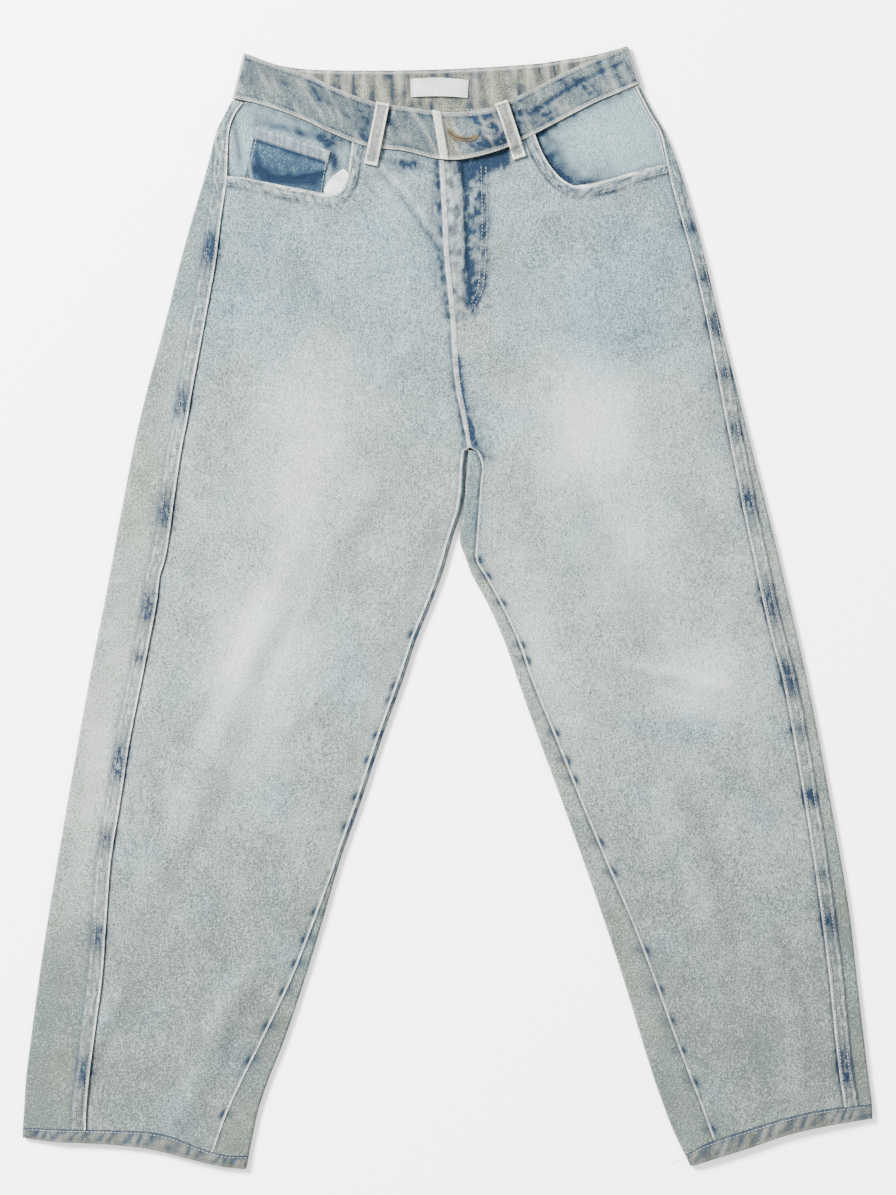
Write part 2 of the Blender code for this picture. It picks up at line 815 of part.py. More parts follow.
def make_waistband():
    """Waistband: one strip from its under end, round the back, to its upper end."""
    radius = BAND_ROLL + BAND
    stations = []

    def add(place, low, high):
        stations.append((place, low, high))

    def stretch(rows, seam, cells, inset_start, inset_end, heights):
        path = route(rows, "seam_x seam_y top_x top_y")
        for i in range(cells + 1):
            share = i / cells
            place = path(share)
            place[1] = seam(place[0])
            shift = inset_start * (1 - smooth(share * 8)) + inset_end * (1 - smooth((1 - share) * 8))
            place[0] += shift
            place[2] += shift
            add(place, *heights)

    def turn(corner, out, downwards):
        columns = roll(0.0, BAND + BAND_ROLL, BAND_ROLL, BAND, out)
        for near, far in columns if downwards else reversed(columns):
            stations.append((corner, near, far))

    right = BAND_BACK[0]
    left = BAND_BACK[-1]
    names = ("seam_x", "seam_y", "top_x", "top_y")
    stretch(BAND_RIGHT, waist, 24, 0.0, radius, ("front", False))
    corner = [right[name] for name in names]
    turn([corner[0] + radius, corner[1], corner[2] + radius, corner[3]], -1, True)
    stretch(BAND_BACK, back_waist, 64, radius, -radius, ("back", None))
    corner = [left[name] for name in names]
    turn([corner[0] - radius, corner[1], corner[2] - radius, corner[3]], 1, False)
    stretch(BAND_LEFT, waist, 28, -radius, 0.0, ("front", True))

    inner = []
    outer = []
    for i in range(BAND_ROWS + 1):
        share = i / BAND_ROWS
        inner_row = []
        outer_row = []
        for place, low, high in stations:
            x = mix(place[0], place[2], share)
            y = mix(place[1], place[3], share)
            if low == "front":
                z = band_height(x, y, high)
                inner_row.append((x, y, z))
                outer_row.append((x, y, z + BAND))
            elif low == "back":
                inner_row.append((x, y, BAND + gathers(x, y)))
                outer_row.append((x, y, 0.0))
            else:
                inner_row.append((x + low[0], y, low[1]))
                outer_row.append((x + high[0], y, high[1]))
        inner.append(inner_row)
        outer.append(outer_row)
    return wall("waistband", inner, outer)


def make_facing(leg, rows):
    """Denim facing inside a pocket mouth."""
    points = []
    for row in patch(rows, 12, 4):
        shift = leg.side(row[0][1]) - leg.out * SEAM_ROOM - row[0][0]
        last = len(row) - 1
        points.append([(x + shift * (1 - j / last) ** 2, y) for j, (x, y) in enumerate(row)])
    points[-1] = [(x, waist(x) - SEAM_ROOM) for x, y in points[-1]]
    name = "pocket_facing_" + leg.name
    return sheet(name, points, lambda x, y: facing_height(leg, x, y), FACING)


def make_on_facing(name, leg, rows, across, up, thickness):
    """A small piece that lies on the right facing."""

    def height(x, y):
        return facing_height(leg, x, y) + FACING + GAP

    return sheet(name, patch(rows, across, up), height, thickness)


def make_shield():
    """Fly shield: the underlap behind the fly, just under both front panels."""
    right = LEGS[0]
    points = []
    for i in range(9):
        y = mix(SHIELD_LOW, SHIELD_HIGH, i / 8)
        seam = right.inseam_line(y)
        points.append([(seam + mix(-SHIELD_UNDER, SHIELD_OVER, j / 5), y) for j in range(6)])

    def height(x, y):
        leg = LEGS[0] if x < right.inseam_line(y) else LEGS[1]
        return TOP + lift(leg, x, y) - FACING - SEAM_ROOM

    return sheet("fly_shield", points, height, FACING)


def make_belt_loop(place):
    """Belt loop: a folded strip over the waistband, tacked to it and to the panel below."""
    leg = LEGS[0] if place["side"] == "right" else LEGS[1]
    run_x = place["low_x"] - place["top_x"]
    run_y = place["low_y"] - place["top_y"]
    length = math.hypot(run_x, run_y)
    across_x = -run_y / length
    across_y = run_x / length

    def height(x, y):
        on_band = band_height(x, y, leg.out > 0) + BAND
        on_panel = front_height(leg, x, y) + DENIM
        share = smooth((waist(x) - 2.0 - y) / 6)
        return mix(on_band, on_panel, share) + SEAM_ROOM

    points = []
    for i in range(LOOP_ROWS + 1):
        share = i / LOOP_ROWS
        row = []
        for side in (-0.5, -0.17, 0.17, 0.5):
            x = place["top_x"] + run_x * share + across_x * side * LOOP_WIDTH
            y = place["top_y"] + run_y * share + across_y * side * LOOP_WIDTH
            row.append((x, y))
        points.append(row)
    return sheet("belt_loop_" + place["side"], points, height, LOOP_THICK)


def make_label():
    """Woven label, sewn inside the back of the waistband."""

    def height(x, y):
        return BAND + GATHER * LABEL_GATHER + GAP

    return sheet("label", patch(LABEL, 8, 2), height, LABEL_THICK)


def make_button():
    """Metal button on the waistband's under end, covered by its upper end."""
    x, y = BUTTON_AT
    z = band_height(x, y, False) + BAND + GAP
    bpy.ops.mesh.primitive_cylinder_add(
        vertices=32,
        radius=BUTTON_RADIUS * MM,
        depth=BUTTON_HIGH * MM,
        location=(x * MM, y * MM, (z + BUTTON_HIGH / 2) * MM),
    )
    button = bpy.context.object
    button.name = "button"
    for holder in list(button.users_collection):
        holder.objects.unlink(button)
    COLLECTION.objects.link(button)
    bevel = button.modifiers.new("rounded rim", "BEVEL")
    bevel.width = 0.6 * MM
    bevel.segments = 2
    return button


def material(piece, name, color, roughness, metallic=0.0):
    finish = bpy.data.materials.new(name)
    finish.use_nodes = True
    shader = finish.node_tree.nodes["Principled BSDF"]
    shader.inputs["Base Color"].default_value = (*color, 1.0)
    shader.inputs["Roughness"].default_value = roughness
    shader.inputs["Metallic"].default_value = metallic
    piece.data.materials.append(finish)


FADED = (0.50, 0.56, 0.58)
FADED_BACK = (0.44, 0.52, 0.53)
BLUE = (0.27, 0.37, 0.50)
CREAM = (0.58, 0.57, 0.51)
WHITE = (0.82, 0.82, 0.80)
BRASS = (0.45, 0.36, 0.22)

for old in list(bpy.data.objects):
    bpy.data.objects.remove(old)
COLLECTION = bpy.data.collections.new("wide-leg jeans")
bpy.context.scene.collection.children.link(COLLECTION)

for one_leg, facing_rows in zip(LEGS, (RIGHT_FACING, LEFT_FACING)):
    side = one_leg.name
    material(make_back(one_leg), "back denim " + side, FADED_BACK, 0.9)
    material(make_yoke(one_leg), "yoke denim " + side, FADED_BACK, 0.9)
    material(make_front(one_leg), "front denim " + side, FADED, 0.9)
    material(make_hem(one_leg), "hem denim " + side, FADED, 0.9)
    material(make_facing(one_leg, facing_rows), "facing denim " + side, BLUE, 0.9)
material(make_waistband(), "waistband denim", CREAM, 0.9)
coin = make_on_facing("coin_pocket", LEGS[0], COIN_POCKET, 8, 5, FACING)
material(coin, "coin pocket denim", BLUE, 0.9)
bag = make_on_facing("pocket_bag_right", LEGS[0], POCKET_BAG, 6, 2, POCKETING)
material(bag, "white pocketing", WHITE, 0.85)
material(make_shield(), "fly shield denim", BLUE, 0.9)
for belt_loop in BELT_LOOPS:
    loop_name = "belt loop denim " + belt_loop["side"]
    material(make_belt_loop(belt_loop), loop_name, CREAM, 0.9)
material(make_label(), "woven label", WHITE, 0.8)
material(make_button(), "worn brass", BRASS, 0.4, metallic=1.0)
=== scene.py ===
"""Looks of the wide-leg jeans, laid flat, front up.

Tables and functions are in millimetres, in the part's own frame: +Y to the waist, +X to the wearer's
left, 0 on the table. Meshes are scaled to metres when they are made. Right and left are the wearer's.
"""

import bisect
import math

import bmesh
import bpy
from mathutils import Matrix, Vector, noise


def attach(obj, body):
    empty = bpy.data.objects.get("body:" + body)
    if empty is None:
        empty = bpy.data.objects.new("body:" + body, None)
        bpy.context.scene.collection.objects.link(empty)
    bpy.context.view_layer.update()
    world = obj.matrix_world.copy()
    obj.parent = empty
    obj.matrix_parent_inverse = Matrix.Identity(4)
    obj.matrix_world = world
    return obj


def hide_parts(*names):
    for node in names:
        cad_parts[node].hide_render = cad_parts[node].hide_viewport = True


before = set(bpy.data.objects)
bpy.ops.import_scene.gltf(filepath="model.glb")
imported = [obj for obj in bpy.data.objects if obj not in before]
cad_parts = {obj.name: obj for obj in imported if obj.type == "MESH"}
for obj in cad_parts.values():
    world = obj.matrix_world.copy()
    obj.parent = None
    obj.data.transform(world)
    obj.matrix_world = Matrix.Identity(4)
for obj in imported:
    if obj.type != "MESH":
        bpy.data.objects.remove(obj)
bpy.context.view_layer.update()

MM = 0.001

# The lie of the cloth
# What every panel shares: the outline, seams and layer heights of a pair of jeans smoothed flat by
# hand, each leg a tube pressed to two layers, with air and soft folds between them.

# Thickness of each cloth as sewn, and the width of the felled side seam
DENIM = 1.2
FELLED = 2.4
FELL_WIDTH = 12.0
BAND = 2.2
HEM = 2.4
FACING = 1.0
POCKETING = 0.8
# Room between pieces that meet, and between a piece's end and the seam that hides it
GAP = 0.3
SEAM_ROOM = 0.8
# Inside radius where cloth rolls up from the table, and the height of the upper layer
ROLL = 1.2
TOP = DENIM + 2 * ROLL
BAND_ROLL = (TOP - BAND) / 2
HEM_ROLL = 0.4
HEM_TOP = HEM + 2 * HEM_ROLL
# Air between the layers, and how far in from an edge it is full
LOFT = 1.3
LOFT_REACH = 40.0
FOLD_LIFT = 2.0
THREAD_RISE = 0.1
INSEAM_IN = 3.5
# Levels where the rows of the mesh change, and how far a bent row fades out
CROTCH = 148.0
BELOW_CROTCH = 145.0
FLY_MID = 350.0
FLY_TOP = 413.6
HEM_FADE = 160.0
YOKE_FADE = 150.0
# Steps along a pocket mouth, and a distance that counts as far from it
MOUTH_PARTS = 60
FAR = 60.0


def table(names, *rows):
    """Rows of values under named columns."""
    return [dict(zip(names.split(), row)) for row in rows]


RIGHT_LEG = table(
    "y outer side inseam inner",
    (482, -193, -181, -6.3, -9.0),
    (469, -198.5, -185.5, -6.3, -8.6),
    (454, -206, -195.7, -6.3, -8.2),
    (440, -212.8, -200.7, -6.3, -7.0),
    (421, -217.6, -202, -6.0, -5.4),
    (394, -224.8, -203.2, -4.3, -2.9),
    (357, -235.8, -208.5, -2.3, 0.3),
    (320, -246, -213, -0.3, 3.6),
    (265, -259.7, -222.8, 5.2, 8.5),
    (210, -274.6, -233, 8.8, 13.4),
    (173, -283.7, -239.2, 15.8, 16.7),
    (148, -289.4, -244.2, 20.6, 18.8),
    (131, -292.7, -246.9, 17.2, 17.2),
    (95, -299.5, -252.1, 14.2, 14.2),
    (63, -305.5, -256.4, 4.4, 4.4),
    (44, -308.9, -260, -0.8, -0.8),
    (30, -311.5, -264.3, -5.2, -5.2),
    (7, -315.8, -267.1, -13.8, -13.8),
    (-29, -322.9, -273.8, -28.4, -28.4),
    (-66, -330.1, -281, -40.7, -40.7),
    (-121, -340, -291.9, -60.6, -60.6),
    (-177, -349.9, -300.6, -80.5, -79.1),
    (-232, -359.3, -309.4, -101.5, -98.5),
    (-287, -368.3, -313.7, -122, -114.6),
    (-342, -376.6, -317.8, -143.6, -131.4),
    (-397, -383.9, -324.9, -169.9, -149.9),
    (-434, -388.5, -329.5, -188.4, -164.6),
    (-462, -390.2, -332.2, -201.5, -174),
    (-480, -391.3, -332.5, -208.3, -178.1),
    (-505, -391.3, -332.6, -217, -183),
)
LEFT_LEG = table(
    "y outer side inseam inner",
    (488, 174.5, 169.5, -6.3, -9.0),
    (469, 183.3, 178.3, -6.3, -8.6),
    (454, 191.5, 186.3, -6.3, -8.2),
    (440, 199.8, 194.6, -6.3, -7.0),
    (421, 208, 199.9, -6.0, -5.4),
    (394, 217.5, 205.5, -4.3, -2.9),
    (357, 228.3, 215.9, -2.3, 0.3),
    (320, 238, 226.1, -0.3, 3.6),
    (265, 250.9, 238.8, 5.2, 8.5),
    (210, 264.7, 249.5, 8.8, 13.4),
    (173, 273.9, 256.4, 15.8, 16.7),
    (148, 280.2, 261.2, 20.6, 18.8),
    (145, 280.9, 261.9, 26.5, 19.0),
    (131, 284.2, 264.6, 31.8, 18.1),
    (116, 288.1, 267.8, 30.6, 16.7),
    (95, 293.4, 271.5, 29.1, 15.3),
    (63, 301.5, 278.3, 26.7, 11.5),
    (44, 306.1, 282.5, 26.4, 17.7),
    (30, 309.3, 285.4, 34.5, 22.9),
    (7, 314.7, 290.3, 47.3, 35.6),
    (-29, 323.1, 298.8, 64.4, 51.9),
    (-66, 331.4, 308.8, 77.5, 64.8),
    (-121, 342.5, 319.1, 100, 84.4),
    (-177, 352.9, 328.6, 122.4, 105.1),
    (-232, 362.8, 337.2, 145.4, 124.9),
    (-287, 371.5, 344.9, 169, 144.1),
    (-342, 377.6, 351.7, 190.3, 162.2),
    (-397, 384, 357.2, 209.9, 178.8),
    (-434, 388.4, 361.5, 224, 190.4),
    (-457, 391.3, 365, 233, 198.5),
    (-480, 391.6, 365.9, 241.3, 207.2),
    (-505, 391.6, 366, 250, 219),
)
RIGHT_HEM = table(
    "x stitch edge",
    (-392, -478.6, -487.5),
    (-363, -479.5, -491.3),
    (-332, -480.2, -492.7),
    (-306, -480.8, -494.3),
    (-277, -482, -497.7),
    (-255, -486, -502.3),
    (-231, -495.6, -508.8),
    (-207, -503.4, -514.3),
    (-183, -504.6, -517),
)
LEFT_HEM = table(
    "x stitch edge",
    (219, -504, -516),
    (239, -492.8, -509.5),
    (276, -480.2, -498),
    (309, -470.1, -486.5),
    (346, -461.8, -477.5),
    (392, -456.8, -470),
)
WAIST = table(
    "x front back",
    (-199, 469.2, 469),
    (-172, 463.7, 462.5),
    (-135.5, 450.8, 458),
    (-108, 437.9, 456.5),
    (-75.7, 425.5, 456),
    (-39, 420.6, 455.8),
    (-9.5, 413.6, 455.8),
    (11.7, 412.6, 456),
    (48.5, 421.4, 457.5),
    (76, 434.2, 459.5),
    (113, 453.6, 464),
    (140.5, 467.4, 470),
    (178, 482.2, 482),
)
YOKE = table(
    "x seam",
    (-222, 435),
    (-160, 421),
    (-80, 400),
    (0, 385),
    (80, 400),
    (150, 421),
    (204, 435),
)
RIGHT_MOUTH = table(
    "x y",
    (-203, 397.5),
    (-186, 395.6),
    (-168.6, 391.9),
    (-145.6, 386),
    (-117, 380.6),
    (-109, 379.6),
    (-100.6, 382.3),
    (-94.6, 389.5),
    (-91.5, 399.3),
    (-90, 410),
    (-88.5, 420),
    (-87.5, 429),
)
LEFT_MOUTH = table(
    "x y",
    (202.5, 409),
    (183.4, 404.4),
    (165.9, 398.5),
    (148.2, 392.1),
    (130.4, 388.2),
    (118.9, 387.8),
    (110, 391.4),
    (101.3, 398.5),
    (91.7, 411),
    (85, 424),
    (80.5, 436),
)
# The folds of the upper layer, large and small: a soft ridge from one point to another
FOLDS = table(
    "x1 y1 x2 y2 width height",
    (-135, 53, -273, -268, 26, 2.2),
    (-60, 120, -150, -20, 22, 1.2),
    (-67, 403, -10, 332, 10, 1.0),
    (-126, -98, -108, -121, 9, 0.9),
    (-180, -330, -245, -470, 20, 1.6),
    (-300, -350, -350, -470, 14, 1.1),
    (-180, 330, -90, 250, 20, 1.2),
    (60, 300, 150, 220, 20, 1.2),
    (104, 118, 177, -29, 26, 1.6),
    (159, -48, 269, -85, 12, 1.2),
    (205, -150, 255, -330, 24, 1.8),
    (300, -300, 330, -440, 18, 1.4),
    (-92, -60, -150, -110, 10, 0.7),
    (-205, -60, -262, -120, 14, 0.6),
    (-240, 210, -190, 120, 16, 0.6),
    (-30, 250, -70, 190, 12, 0.6),
    (45, 205, 105, 160, 13, 0.7),
    (38, 80, 88, 40, 10, 0.7),
    (190, 120, 235, 60, 15, 0.6),
    (182, -66, 226, -60, 6, 0.5),
    (214, -96, 262, -104, 7, 0.5),
    (150, -260, 190, -330, 12, 0.7),
    (270, -180, 320, -230, 15, 0.6),
    (-290, -130, -262, -220, 13, 0.7),
)


def smooth(share):
    share = min(max(share, 0.0), 1.0)
    return share * share * (3 - 2 * share)


def mix(a, b, share):
    return a + (b - a) * share


def steps(low, high, count):
    """Even places from one value to another, both ends among them."""
    return [mix(low, high, i / count) for i in range(count + 1)]


def bump_at(distance, width):
    """A soft bump, 1 in its middle."""
    return math.exp(-((distance / width) ** 2))


def rough(x, y, size_x, size_y, seed=0.0):
    """Uneven from 0 to 1, in patches of about that size."""
    value = noise.noise(Vector((x / size_x, y / size_y, seed)))
    return min(max(0.5 + 0.8 * value, 0.0), 1.0)


def spline(keys, values):
    """A smooth curve through the values, going straight on past both ends."""
    last = len(keys) - 1
    slopes = []
    for i in range(last + 1):
        low = max(i - 1, 0)
        high = min(i + 1, last)
        slopes.append((values[high] - values[low]) / (keys[high] - keys[low]))

    def at(key):
        if key <= keys[0]:
            return values[0] + slopes[0] * (key - keys[0])
        if key >= keys[last]:
            return values[last] + slopes[last] * (key - keys[last])
        i = bisect.bisect_right(keys, key) - 1
        step = keys[i + 1] - keys[i]
        t = (key - keys[i]) / step
        lead = slopes[i] * t * (1 - t) ** 2
        trail = slopes[i + 1] * (t - 1) * t * t
        return mix(values[i], values[i + 1], smooth(t)) + step * (lead + trail)

    return at


def curve(rows, key, value):
    """One column of a table as a smooth function of another."""
    ordered = sorted(rows, key=lambda row: row[key])
    return spline([row[key] for row in ordered], [row[value] for row in ordered])


def route(rows, columns):
    """A smooth path through a table's rows, for shares from 0 to 1 of its row count."""
    keys = list(range(len(rows)))
    parts = [spline(keys, [row[name] for row in rows]) for name in columns.split()]

    def at(share):
        return [part(share * keys[-1]) for part in parts]

    return at


class Leg:
    """One leg: its silhouette and seams as functions of y, and its hem as functions of x."""

    def __init__(self, name, out, rows, hem, mouth):
        self.name = name
        self.out = out
        self.outer = curve(rows, "y", "outer")
        self.side = curve(rows, "y", "side")
        self.inner = curve(rows, "y", "inner")
        self.inseam_line = curve(rows, "y", "inseam")
        self.stitch = curve(hem, "x", "stitch")
        self.edge = curve(hem, "x", "edge")
        self.hem_level = self.stitch(hem[0]["x"] if out < 0 else hem[-1]["x"])
        self.mouth = route(mouth, "x y")
        self.mouth_points = [self.mouth(share) for share in steps(0, 1, MOUTH_PARTS)]
        self.mouth_low = mouth[0]["y"]

    def inseam(self, y):
        """The inseam, which always lies a little way in from the leg's inner edge."""
        if y >= CROTCH:
            return self.inseam_line(y)
        least = self.inner(y) * self.out + INSEAM_IN
        return self.out * max(self.inseam_line(y) * self.out, least)


RIGHT = Leg("right", -1, RIGHT_LEG, RIGHT_HEM, RIGHT_MOUTH)
LEFT = Leg("left", 1, LEFT_LEG, LEFT_HEM, LEFT_MOUTH)
waist = curve(WAIST, "x", "front")
back_waist = curve(WAIST, "x", "back")
yoke_seam = curve(YOKE, "x", "seam")


def meet(line, row):
    """Where a line x(y) crosses a row y(x)."""
    y = row(line(0))
    for _ in range(8):
        y = row(line(y))
    return line(y)


def hem_row(leg, level):
    """A row across the leg that bends to the hem's stitch line as it comes near it."""
    share = 1 - smooth((level - leg.hem_level) / HEM_FADE)
    return lambda x: level + share * (leg.stitch(x) - leg.hem_level)


def yoke_row(level):
    """A row across the hip that bends to the yoke seam as it comes near it."""
    top = yoke_seam(YOKE[0]["x"])
    share = smooth((level - top + YOKE_FADE) / YOKE_FADE)
    return lambda x: level + share * (yoke_seam(x) - GAP - top)


def fold_height(x, y):
    """Height of the soft folds at a point. Each wavers and thins out at its ends."""
    total = 0.0
    for fold in FOLDS:
        run_x = fold["x2"] - fold["x1"]
        run_y = fold["y2"] - fold["y1"]
        length = math.hypot(run_x, run_y)
        along = ((x - fold["x1"]) * run_x + (y - fold["y1"]) * run_y) / length**2
        away = ((x - fold["x1"]) * run_y - (y - fold["y1"]) * run_x) / length
        away = abs(away + 0.12 * fold["width"] * math.sin(along * 7 + fold["x1"]))
        if -0.2 < along < 1.2 and away < fold["width"]:
            ends = smooth((along + 0.2) / 0.4) * smooth((1.2 - along) / 0.4)
            total += fold["height"] * ends * (1 - smooth(away / fold["width"]))
    return FOLD_LIFT * total


def lift(leg, x, y):
    """How far the upper layer stands over its height at the rolls."""
    from_outer = (leg.outer(y) - x) * leg.out - ROLL - DENIM
    from_inner = (x - leg.inner(y)) * leg.out - ROLL - DENIM + max(0.0, y - 60) * 0.9
    nearest = min(from_outer, from_inner)
    loft = LOFT * smooth(from_outer / LOFT_REACH) * smooth(from_inner / LOFT_REACH)
    return loft + fold_height(x, y) * smooth(nearest / 20)


def mouth_distance(leg, x, y):
    """Distance from the edge of the pocket mouth."""
    if y < leg.mouth_low - FAR:
        return FAR
    return min(math.hypot(x - px, y - py) for px, py in leg.mouth_points)


# Wear, washing and painted shade
# How the denim has faded: worn white on thighs, knees and every raised seam, still blue at the hips
# and in the creases, and greyer towards the hems. Some light and dark zones also paint the light and
# shade of the broad soft folds, and thin dark lines paint the shadows along raised seams, edges and
# creases. Each piece carries it all as the wear_and_shade attribute: worn white, blue left, deep
# blue (dye, and painted shade) and pale ridge, in that order.
ZONES = table(
    "x y reach_x reach_y turn fade blue",
    (-135, 150, 40, 92, 9, 0.4, -0.15),
    (-170, -42, 44, 74, 14, 0.52, -0.1),
    (-190, -150, 34, 60, 14, 0.12, 0.15),
    (-325, -150, 26, 130, 8, 0.42, -0.1),
    (-290, 30, 30, 120, 8, 0.03, -0.1),
    (-62, 320, 44, 60, 0, 0.02, 0.35),
    (-185, 300, 50, 70, 0, -0.06, 0.25),
    (-20, 180, 26, 50, 0, -0.08, 0.3),
    (-100, -60, 34, 60, 20, 0.0, 0.35),
    (131, 172, 44, 60, -12, 0.6, -0.1),
    (168, 60, 44, 70, -14, 0.24, 0.1),
    (232, -70, 40, 38, -10, 0.44, 0.0),
    (214, -112, 44, 15, 0, -0.14, 0.5),
    (85, -30, 22, 90, -20, 0.22, -0.1),
    (140, 285, 44, 40, 0, 0.05, 0.45),
    (160, 244, 46, 22, 0, -0.12, 0.5),
    (180, 325, 50, 60, 0, -0.06, 0.25),
    (292, -380, 60, 100, 0, -0.05, -0.15),
    (22, 92, 11, 46, 0, -0.26, 0.7),
    (30, 150, 16, 22, 0, -0.12, 0.5),
)


def faded(x, y):
    """How far the cloth at a point is worn white, and how blue it still is; some zones paint fold light
    and shade.
    """
    fade = 0.36 - 0.22 * smooth((-y - 10) / 430) - 0.06 * smooth((y - 180) / 120)
    blue = 0.12 + 0.34 * smooth((y - 80) / 300)
    for zone in ZONES:
        turn = math.radians(zone["turn"])
        run_x = x - zone["x"]
        run_y = y - zone["y"]
        across = (run_x * math.cos(turn) - run_y * math.sin(turn)) / zone["reach_x"]
        along = (run_x * math.sin(turn) + run_y * math.cos(turn)) / zone["reach_y"]
        square = across * across + along * along
        if square < 7:
            share = math.exp(-square)
            fade += zone["fade"] * share
            blue += zone["blue"] * share
    fade += 0.14 * (rough(x, y, 38, 60, 3.0) - 0.5) + 0.1 * (rough(x, y, 9, 14, 5.0) - 0.5)
    blue += 0.4 * (rough(x, y, 45, 50, 8.0) - 0.5)
    return min(max(fade, 0.04), 1.0), min(max(blue, 0.0), 1.0)


def strokes(*rows):
    """Creases and marks, listed: width, deep blue (dye, and painted shade in creases), pale, height and
    a path.
    """
    made = []
    for width, indigo_and_shade, pale, height, points in rows:
        reach = 2.6 * width
        low_x = min(x for x, y in points) - reach
        low_y = min(y for x, y in points) - reach
        high_x = max(x for x, y in points) + reach
        high_y = max(y for x, y in points) + reach
        made.append((width, indigo_and_shade, pale, height, points, (low_x, low_y, high_x, high_y)))
    return made


def path_distance(points, x, y):
    """Distance from a path of straight runs."""
    best = 1e9
    for (ax, ay), (bx, by) in zip(points, points[1:]):
        run_x = bx - ax
        run_y = by - ay
        t = ((x - ax) * run_x + (y - ay) * run_y) / (run_x * run_x + run_y * run_y)
        t = min(max(t, 0.0), 1.0)
        best = min(best, math.hypot(x - ax - t * run_x, y - ay - t * run_y))
    return best


def drawn(marks, x, y):
    """Deep blue (dye, and painted shade), pale and height that the strokes give a point."""
    indigo_and_shade = 0.0
    pale = 0.0
    height = 0.0
    for width, ink, white, rise, points, box in marks:
        if box[0] < x < box[2] and box[1] < y < box[3]:
            uneven = 0.45 + 1.1 * rough(x, y, 9, 9, width)
            share = bump_at(path_distance(points, x, y), width)
            indigo_and_shade += ink * share * uneven
            pale += white * share * uneven
            height += rise * share * min(uneven, 1.2)
    return indigo_and_shade, pale, height


NO_WEAR = (0.0, 0.0, 0.0, 0.0)


def limited(fade, blue, indigo_and_shade, pale):
    """The wear of a point, each part of it held between 0 and 1."""
    return tuple(min(max(value, 0.0), 1.0) for value in (fade, blue, indigo_and_shade, pale))


def linear(code):
    """Scene colour of an sRGB hex code."""
    values = []
    for i in (1, 3, 5):
        value = int(code[i : i + 2], 16) / 255
        values.append(value / 12.92 if value <= 0.04045 else ((value + 0.055) / 1.055) ** 2.4)
    return (*values, 1.0)


def add(tree, kind, inputs=None, **settings):
    """Adds a node. An input is a value, or the socket of another node to link."""
    made = tree.nodes.new(kind)
    for name, value in settings.items():
        setattr(made, name, value)
    for key, value in (inputs or {}).items():
        if isinstance(value, bpy.types.NodeSocket):
            tree.links.new(value, made.inputs[key])
        else:
            made.inputs[key].default_value = value
    return made


def mixed(tree, share, first, second):
    """A colour between two, by a share that a socket gives."""
    made = add(tree, "ShaderNodeMix", {0: share, 6: first, 7: second}, data_type="RGBA")
    return made.outputs[2]


def scaled(tree, value, low, high):
    """A value from 0 to 1, stretched to run from low to high."""
    inputs = {"Value": value, "To Min": low, "To Max": high}
    return add(tree, "ShaderNodeMapRange", inputs).outputs["Result"]


def summed(tree, first, second, operation="ADD"):
    """Two values added or multiplied, and held between 0 and 1."""
    made = add(tree, "ShaderNodeMath", {0: first, 1: second}, operation=operation, use_clamp=True)
    return made.outputs["Value"]


def cloth_shader(name, roughness, sheen):
    """A matte cloth finish with a little fuzz at the edges of what is seen."""
    finish = bpy.data.materials.new(name)
    finish.use_nodes = True
    shader = finish.node_tree.nodes["Principled BSDF"]
    shader.inputs["Roughness"].default_value = roughness
    shader.inputs["Specular IOR Level"].default_value = 0.04
    shader.inputs["Sheen Weight"].default_value = sheen
    shader.inputs["Sheen Roughness"].default_value = 0.5
    return finish, finish.node_tree, shader


